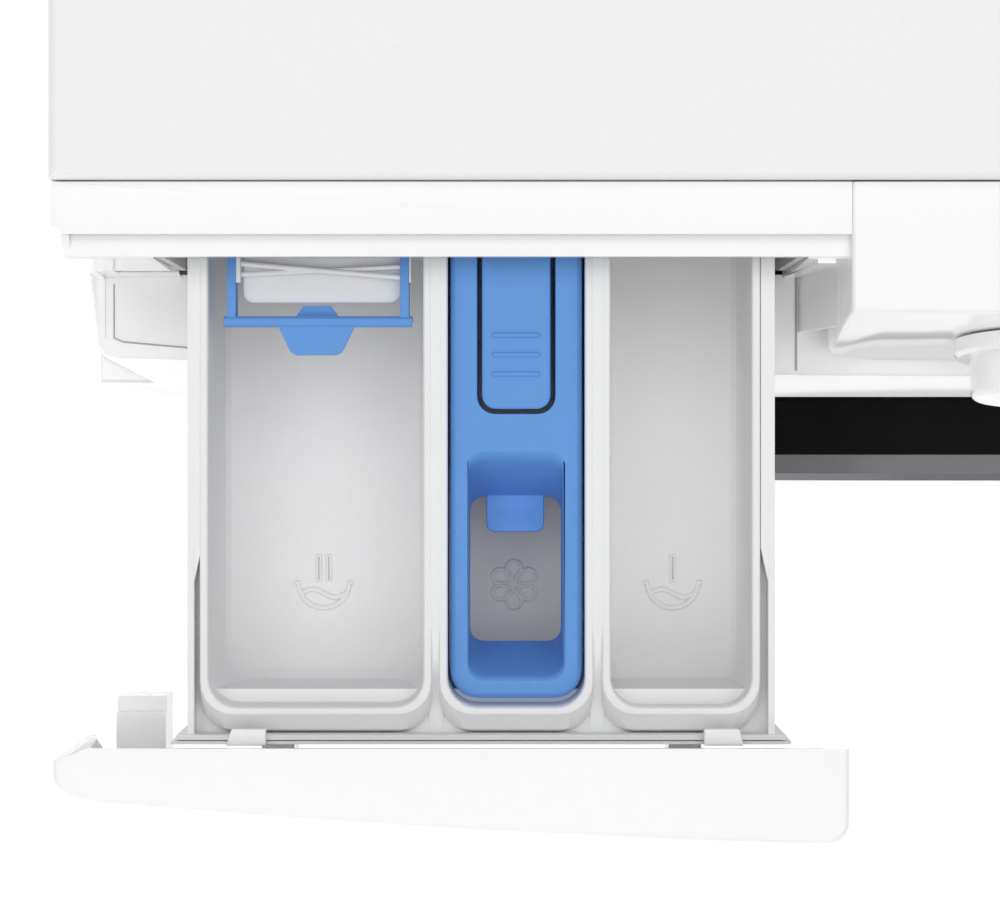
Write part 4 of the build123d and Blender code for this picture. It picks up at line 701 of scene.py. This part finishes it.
class WASHER_OT_fascia(bpy.types.Operator):
    """Builds the control face, the drawer's pocket under its overhang, the chin and the display's window"""

    bl_idname = "washer.fascia"
    bl_label = "Fascia"

    def execute(self, context):
        back = 57.2
        left, right = -HALF, -62.5
        bm = bmesh.new()
        moulding(bm, right, HALF, FACE_FOOT, FACE_TOP, back, 3.0, (0.0, 11.0), 22.0)
        # below its bend the end wall beside the drawer leans towards the drawer
        prism(bm, [(right - 0.1, 803.0), (right - 7.9, FACE_FOOT - 1), (right - 5.0, FACE_FOOT - 1), (right + 2.9, 803.0)],
              "Y", 16.0, 36.0)
        # overhang and ledge, with the slot that the drawer's top slides into
        prism(bm, [(left, back), (left, 45.1), (-296.7, 41.7), (right, 41.7), (right, back)], "Z", 841.0, FACE_TOP)
        prism(bm, [(-297.2, back), (-297.2, 37.6), (-295.0, 35.3), (right, 35.3), (right, back)], "Z", 833.8, 838.0)
        # left side wall, its front edge leaning out to a low rim along the shelf, and the apron below
        prism(bm, [(back, 843), (45, 843), (37.6, 838.2), (33.0, 747.6), (14.0, 747.6), (14.0, 740.0), (back, 740.0)],
              "X", -297.2, -294.8)
        block(bm, left, -297.2, 44.0, back, 715.0, FACE_TOP)
        # back wall on both sides of the dispenser, with the pocket that the lug slides into
        for x0, x1 in ((-297.2, -270.4), (-74.6, right)):
            for z0, z1 in ((FACE_FOOT - 2, 753.6), (781.6, 834.0)):
                prism(bm, [(34.9, z1), (37, z1), (37, z0), (33.4 + (z0 - 747) / 60, z0)], "X", x0, x1)
        block(bm, -297.2, -289.2, 34.4, 37, 753, 782)
        block(bm, -74.6, right, 34.2, 37, 753, 782)
        block(bm, -289.2, -270.4, 61.0, 63.0, 752, 783)
        # gusset under the overhang
        prism(bm, [(-71.8, 834.5), (-66.4, 834.5), (-70.4, FACE_FOOT), (-75.2, FACE_FOOT)], "Y", 33.5, 36.5)
        # shelf and chin: the upper edge bows, the lower one is straight
        spots = [-272 + 544 * step / 16 for step in range(17)]
        upper = [(x, 1.0 + 5.2 * (x / 268) ** 2) for x in spots]
        lower = [(x, -4.6) for x in spots]
        upper_end = ((297.6, 13.5), (297.2, 11.0), (295.2, 8.0), (291.0, 6.9))
        lower_end = ((299.5, 8.4), (293.0, 5.3), (286.0, 2.0), (279.0, -1.3))
        levels = []
        for z, line, end, inset in ((715.0, lower, lower_end, 0.0), (744.8, upper, upper_end, 0.0),
                                    (746.4, upper, upper_end, 0.6), (FACE_FOOT, upper, upper_end, 1.8)):
            outline = [(-HALF + inset, 34.5)] + [(-x + inset, y + inset) for x, y in end]
            outline += [(x, y + inset) for x, y in line]
            outline += [(x - inset, y + inset) for x, y in reversed(end)] + [(HALF - inset, 34.5)]
            levels.append((z, outline))
        stacked(bm, levels)
        block(bm, 296.8, HALF, 34.0, back, 715.0, FACE_FOOT + 1)
        block(bm, left, -297.2, 34.0, back, 715.0, FACE_FOOT)
        # corners under the chin, down to the front panel's top edge
        for side in (-1, 1):
            x0, x1 = sorted((side * 299.6, side * 262.0))
            block(bm, x0, x1, 1.0, 34.5, 715.2, 716.4)
        piece(bm, "fascia_moulding", "cabinet", "fascia_white", ["control_fascia"], soften=0.35, smooth=35)

        # painted shade: a fine grey seat line on the shelf, where the shut drawer's foot comes
        bm = bmesh.new()
        line = [(-292.0, 31.5, 747.1), (-292.0, 14.0, 747.1)] + [(x, bow(x) - 0.8, 747.1) for x in range(-289, -74, 12)]
        tube_line(bm, line, 0.28, sides=1)
        # painted shade: a thin grey strip along the foot of the end wall beside the drawer
        block(bm, -71.2, -70.4, 3.4, 34.0, 747.0, 747.15)
        piece(bm, "shelf_shade_line", "cabinet", "housing_grey")

        bm = bmesh.new()
        block(bm, 60, 180, NOSE - 0.35, NOSE + 1.5, 779, 822)
        for step in range(1, 12):
            bmesh.ops.bisect_plane(bm, geom=bm.verts[:] + bm.edges[:] + bm.faces[:], dist=1e-7,
                                   plane_co=place(60 + 10 * step, 0, 0), plane_no=(1, 0, 0))
        for vert in bm.verts:
            vert.co.y += (face_depth(vert.co.x / MM, vert.co.z / MM) - NOSE) * MM
        piece(bm, "window", "cabinet", "window_smoke", ["display_window"], soften=0.25)

        # box that the drawer slides in, with its runners, hose stubs and outlet
        bm = bmesh.new()
        x0, x1, front, rear, z0, z1, wall = -270.0, -75.0, 35.4, 284.5, 756.0, 833.5, 2.5
        block(bm, x0, x1, front, rear, z1 - wall, z1)
        block(bm, x0, x1, front, rear, z0, z0 + wall)
        block(bm, x0, x0 + wall, front, rear, z0 + wall, z1 - wall)
        block(bm, x1 - wall, x1, front, rear, z0 + wall, z1 - wall)
        block(bm, x0 + wall, x1 - wall, rear - wall, rear, z0 + wall, z1 - wall)
        for a, b in ((x0 + wall, -261.9), (-83.2, x1 - wall)):
            block(bm, a, b, 53, rear - wall, 793, 798)
        round_bar(bm, 14.0, (-125, 265, 744), (-125, 265, 757), 32)
        round_bar(bm, 6.3, (-175, 284, 800), (-175, 298.5, 800), 24)
        for x in (-230, -172.5, -115):
            block(bm, x - 1, x + 1, 70, 280, z1, z1 + 1.5)
        piece(bm, "dispenser_box", "cabinet", "housing_grey", ["dispenser_housing"], soften=0.4)
        return {"FINISHED"}


class WASHER_OT_fascia_marks(bpy.types.Operator):
    """Builds the ticks and figures round the knob, the key marks and the lit display figures"""

    bl_idname = "washer.fascia_marks"
    bl_label = "Fascia marks"

    def execute(self, context):
        bm = bmesh.new()
        centre = on_face(0, 795, 0.05)
        for turn in range(8):
            spin = Matrix.Rotation(-turn * 2 * pi / 16, 4, "Z")
            shift = Matrix.Translation((0, 30.4 * MM, 0)) @ Matrix.Diagonal((0.7 * MM, 3.2 * MM, 0.12 * MM, 1))
            bmesh.ops.create_cube(bm, size=1, matrix=centre @ spin @ shift)
        for turn, text in ((1, "15"), (2, "20"), (3, "30"), (4, "40"), (5, "60"), (6, "90"), (7, "95")):
            angle = -turn * 2 * pi / 16
            spot = Matrix.Translation((-sin(angle) * 36.6 * MM, cos(angle) * 36.6 * MM, 0))
            lettering(bm, text, 5.0, centre @ spot, thick=0.05)
        bmesh.ops.create_circle(bm, cap_ends=True, segments=20, radius=1.1 * MM,
                                matrix=centre @ Matrix.Translation((0, 35.6 * MM, 0.05 * MM)))
        # play and pause over the start button
        start = on_face(255, 811, 0.05)
        bmesh.ops.create_cone(bm, cap_ends=True, segments=3, radius1=2.2 * MM, radius2=2.2 * MM, depth=0.12 * MM,
                              matrix=start @ Matrix.Translation((-3.2 * MM, 0, 0)) @ Matrix.Rotation(-pi / 2, 4, "Z"))
        for x in (1.4, 4.0):
            bmesh.ops.create_cube(bm, size=1, matrix=start @ Matrix.Translation((x * MM, 0, 0))
                                  @ Matrix.Diagonal((1.1 * MM, 3.8 * MM, 0.12 * MM, 1)))
        # a thermometer over the first key and a spiral over the second
        warm = on_face(95, 773, 0.05)
        bmesh.ops.create_cube(bm, size=1, matrix=warm @ Matrix.Diagonal((0.9 * MM, 5.0 * MM, 0.12 * MM, 1)))
        bmesh.ops.create_cone(bm, cap_ends=True, segments=16, radius1=1.2 * MM, radius2=1.2 * MM, depth=0.12 * MM,
                              matrix=warm @ Matrix.Translation((0, -2.6 * MM, 0)))
        swirl = bpy.data.curves.new("swirl", "CURVE")
        swirl.dimensions = "3D"
        swirl.bevel_depth = 0.28 * MM
        swirl.bevel_resolution = 1
        turns = swirl.splines.new("POLY")
        turns.points.add(32)
        for step, spot in enumerate(turns.points):
            angle = step * 0.42
            reach = (0.4 + step * 0.075) * MM
            spot.co = (reach * cos(angle), reach * sin(angle), 0, 1)
        add_curve(bm, swirl, on_face(145, 773, -0.1))
        piece(bm, "fascia_print", "cabinet", "print_grey")

        bm = bmesh.new()
        lettering(bm, "1:28", 16.0, on_face(104, 800, 0.42), thick=0.03)
        lettering(bm, "40", 9.0, on_face(148, 805, 0.42), thick=0.03)
        lettering(bm, "1400", 6.0, on_face(150, 794, 0.42), thick=0.03)
        piece(bm, "display_figures", "cabinet", "lit_white")
        return {"FINISHED"}


class WASHER_OT_soft_joints(bpy.types.Operator):
    """Builds the door seal, the tub's hoses and the suspension springs"""

    bl_idname = "washer.soft_joints"
    bl_label = "Seal, hoses and springs"

    def execute(self, context):
        sizes = context.scene.washer_sizes
        bm = bmesh.new()
        outer = [(169.7, -1.2), (169.7, 11.5), (172.0, 15.0), (174.0, 19.0), (173.6, 23.0), (170.0, 26.0),
                 (165.5, 28.6), (164.0, 32.0), (166.0, 35.6), (170.5, 37.6), (172.6, 40.0), (171.0, 43.0),
                 (165.4, 45.4), (163.0, 47.0), (163.0, 59.0)]
        inner = [(radius - 2.6, y) for radius, y in reversed(outer)]
        turned(bm, outer + inner, steps=120)
        seal = piece(bm, "door_bellows", None, "seal_rubber", ["door_seal"], smooth=60)
        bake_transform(seal)

        # corrugated filling hose between the dispenser and the tub
        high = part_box("tub_hoses")[1]
        bm = bmesh.new()
        x, y = -125.0, 265.0
        bottom, top = 672.0, high.z / MM
        rows = []
        count = 9
        step = (top - bottom) / count
        for turn in range(count):
            z = bottom + turn * step
            rows += [(14.8, z), (14.8, z + step * 0.2), (17.4, z + step * 0.45), (17.4, z + step * 0.7)]
        rows += [(14.8, top), (12.6, top), (12.6, bottom)]
        verts = [bm.verts.new(place(x + radius, y, z)) for radius, z in rows]
        edges = [bm.edges.new(pair) for pair in zip(verts, verts[1:] + verts[:1])]
        bmesh.ops.spin(bm, geom=verts + edges, cent=place(x, y, 0), axis=(0, 0, 1), dvec=(0, 0, 0),
                       angle=2 * pi, steps=32, use_merge=True)
        fill = piece(bm, "filling_bellows", None, "hose_rubber", ["tub_hoses"], smooth=50)
        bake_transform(fill)

        # sump hose from the tub to the drain filter
        bm = bmesh.new()
        sump = [(-12, 280, 157.7), (-12, 280, 118), (-12, 279, 100), (-12, 274, 84), (-12, 264, 71), (-12, 248, 64),
                (-12, 230, 62), (-12, 110, 62), (-9, 92, 62), (-1, 78, 62), (12, 69, 62), (30, 65, 62),
                (60, 65, 62), (194.7, 65, 62)]
        tube_line(bm, sump, 13.0, sides=5)
        drain = piece(bm, "sump_hose", None, "hose_rubber", smooth=60)
        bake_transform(drain)

        for side, name in ((-1, "left"), (1, "right")):
            bm = bmesh.new()
            x, y, foot, head = side * 200.0, 320.0, 608.0, 800.0
            wire = sizes.spring_wire / MM
            start, end = foot + 22, head - 22
            turns = 34
            steps = turns * 14
            bmesh.ops.create_circle(bm, segments=6, radius=wire * MM, cap_ends=True,
                                    matrix=Matrix.Translation(place(x + 11.9 - wire, y, start))
                                    @ Matrix.Rotation(pi / 2, 4, "X"))
            bmesh.ops.spin(bm, geom=bm.verts[:] + bm.edges[:] + bm.faces[:], cent=place(x, y, 0), axis=(0, 0, 1),
                           dvec=(0, 0, (end - start) / steps * MM), angle=2 * pi * turns, steps=steps,
                           use_merge=False)
            for z, far in ((start, foot + 3), (end, head - 3)):
                tube_line(bm, [(x + 10.2, y, z), (x + 8, y, z + (far - z) * 0.35), (x, y, z + (far - z) * 0.55),
                               (x, y, far)], wire, sides=2)
            made = piece(bm, "spring_" + name, None, "motor_steel",
                         ["suspension_springs"] if side < 0 else (), smooth=60)
            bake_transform(made)
        return {"FINISHED"}


class WASHER_OT_small_parts(bpy.types.Operator):
    """Builds the screws, the transport bolt caps and the painted shade of the drum's holes"""

    bl_idname = "washer.small_parts"
    bl_label = "Screws, caps and drum holes"

    def execute(self, context):
        bm = bmesh.new()
        spots = [(x, z) for x in (-165, 0, 165) for z in (264, 606)]
        spots += [(side * 166, z) for side in (-1, 1) for z in (380, 490)]
        spots += [(side * 290, z) for side in (-1, 1) for z in (60, 250, 440, 630, 800)]
        spots += [(side * 150, 812) for side in (-1, 1)]
        for x, z in spots:
            y = REAR + (1.2 if abs(x) < 170 and 258 < z < 612 else 0)
            middle = Matrix.Translation(place(x, y + 0.9, z)) @ Matrix.Rotation(-pi / 2, 4, "X")
            bmesh.ops.create_cone(bm, cap_ends=True, segments=16, radius1=4.2 * MM, radius2=3.0 * MM,
                                  depth=1.8 * MM, matrix=middle)
            for turn in (0, pi / 2):
                bmesh.ops.create_cube(bm, size=1, matrix=middle @ Matrix.Rotation(turn, 4, "Z")
                                      @ Matrix.Translation((0, 0, 0.9 * MM))
                                      @ Matrix.Diagonal((3.6 * MM, 0.7 * MM, 0.14 * MM, 1)))
        piece(bm, "panel_screws", "cabinet", "zinc_steel")

        bm = bmesh.new()
        for x, z in ((-215, 640), (215, 640), (-215, 240), (215, 240)):
            for radius, depth, start in ((17, 2.4, 0), (12, 4.5, 0)):
                round_bar(bm, radius, (x, REAR + start, z), (x, REAR + depth, z), 32)
            block(bm, x - 9, x + 9, REAR + 4, REAR + 6.5, z - 1.8, z + 1.8)
        piece(bm, "transport_caps", "cabinet", "housing_grey", soften=0.6)

        bm = bmesh.new()
        reach = (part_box("drum_shell")[1].x / MM) - 1.2
        for row in range(12):
            for turn in range(48):
                angle = 2 * pi * (turn + (row % 2) / 2) / 48
                spot = (reach * sin(angle), 105 + row * 24, AXIS_Z + reach * cos(angle))
                # the lifting ribs cover three bands
                if abs((angle / (2 * pi) * 3 + 0.5) % 1 - 0.5) < 0.09:
                    continue
                inward = Vector((-sin(angle), 0, -cos(angle)))
                turned_in = inward.to_track_quat("Z", "Y").to_matrix().to_4x4()
                # painted shade: a near black disc just inside the shell where each hole is
                bmesh.ops.create_circle(bm, cap_ends=True, segments=8, radius=1.9 * MM,
                                        matrix=Matrix.Translation(place(*spot) + inward * 0.15 * MM) @ turned_in)
        piece(bm, "drum_holes", "drum", "painted_hole_shade")
        return {"FINISHED"}


class WASHER_OT_stage(bpy.types.Operator):
    """Adds the pale floor, the soft studio light and the camera"""

    bl_idname = "washer.stage"
    bl_label = "Stage"

    def execute(self, context):
        stage = context.scene.washer_stage
        bm = bmesh.new()
        bmesh.ops.create_grid(bm, x_segments=1, y_segments=1, size=12.0)
        mesh = bpy.data.meshes.new("floor")
        bm.to_mesh(mesh)
        bm.free()
        floor = bpy.data.objects.new("floor", mesh)
        context.scene.collection.objects.link(floor)
        paint = bpy.data.materials.new("floor_paper")
        paint.use_nodes = True
        paint.node_tree.nodes["Principled BSDF"].inputs["Base Color"].default_value = stage.floor_colour
        paint.node_tree.nodes["Principled BSDF"].inputs["Roughness"].default_value = 0.9
        paint.node_tree.nodes["Principled BSDF"].inputs["Emission Color"].default_value = (1, 1, 1, 1)
        paint.node_tree.nodes["Principled BSDF"].inputs["Emission Strength"].default_value = 0.2
        mesh.materials.append(paint)

        world = bpy.data.worlds.new("studio")
        world.use_nodes = True
        world.node_tree.nodes["Background"].inputs["Color"].default_value = (1, 1, 1, 1)
        world.node_tree.nodes["Background"].inputs["Strength"].default_value = stage.sky
        context.scene.world = world
        context.scene.view_settings.view_transform = "Standard"
        above = bpy.data.lights.new("overhead", "SUN")
        above.energy = stage.overhead
        above.angle = radians(70)
        lamp = bpy.data.objects.new("overhead", above)
        context.scene.collection.objects.link(lamp)
        for name, spot, power, size in (("front_light", (-1.2, -3.2, 1.3), 26, 2.4),
                                        ("side_light", (3.2, 1.6, 1.6), 9, 2.4)):
            light = bpy.data.lights.new(name, "AREA")
            light.energy = power
            light.size = size
            lamp = bpy.data.objects.new(name, light)
            lamp.location = spot
            lamp.rotation_euler = (Vector((0, 0, 0.45)) - Vector(spot)).to_track_quat("-Z", "Y").to_euler()
            context.scene.collection.objects.link(lamp)

        camera = bpy.data.cameras.new("camera")
        camera.lens = stage.lens
        camera.sensor_width = 36.0
        eye = bpy.data.objects.new("camera", camera)
        eye.location = (-0.1668, place(0, -22.0, 0).y, (TOP + 1000) * MM)
        context.scene.collection.objects.link(eye)
        context.scene.camera = eye
        return {"FINISHED"}


class WASHER_PT_panel(bpy.types.Panel):
    """Panel that lists the washing machine's pieces"""

    bl_idname = "WASHER_PT_panel"
    bl_label = "Washing machine"
    bl_space_type = "VIEW_3D"
    bl_region_type = "UI"
    bl_category = "Washer"

    def draw(self, context):
        for settings in (context.scene.washer_sizes, context.scene.washer_stage):
            for name in settings.__annotations__:
                self.layout.prop(settings, name)
        for operator in OPERATORS:
            self.layout.operator(operator.bl_idname)


OPERATORS = (WASHER_OT_finishes, WASHER_OT_tray, WASHER_OT_insert, WASHER_OT_drawer_front,
             WASHER_OT_fascia, WASHER_OT_fascia_marks, WASHER_OT_soft_joints, WASHER_OT_small_parts, WASHER_OT_stage)
CLASSES = (WasherSizes, WasherStage, *OPERATORS, WASHER_PT_panel)


def register():
    for made in CLASSES:
        bpy.utils.register_class(made)
    bpy.types.Scene.washer_sizes = bpy.props.PointerProperty(type=WasherSizes)
    bpy.types.Scene.washer_stage = bpy.props.PointerProperty(type=WasherStage)


def unregister():
    del bpy.types.Scene.washer_stage
    del bpy.types.Scene.washer_sizes
    for made in reversed(CLASSES):
        bpy.utils.unregister_class(made)


def main():
    """Builds every piece in order."""
    register()
    bpy.ops.washer.finishes()
    bpy.ops.washer.tray()
    bpy.ops.washer.insert()
    bpy.ops.washer.drawer_front()
    bpy.ops.washer.fascia()
    bpy.ops.washer.fascia_marks()
    bpy.ops.washer.soft_joints()
    bpy.ops.washer.small_parts()
    bpy.ops.washer.stage()


if __name__ == "__main__":
    main()
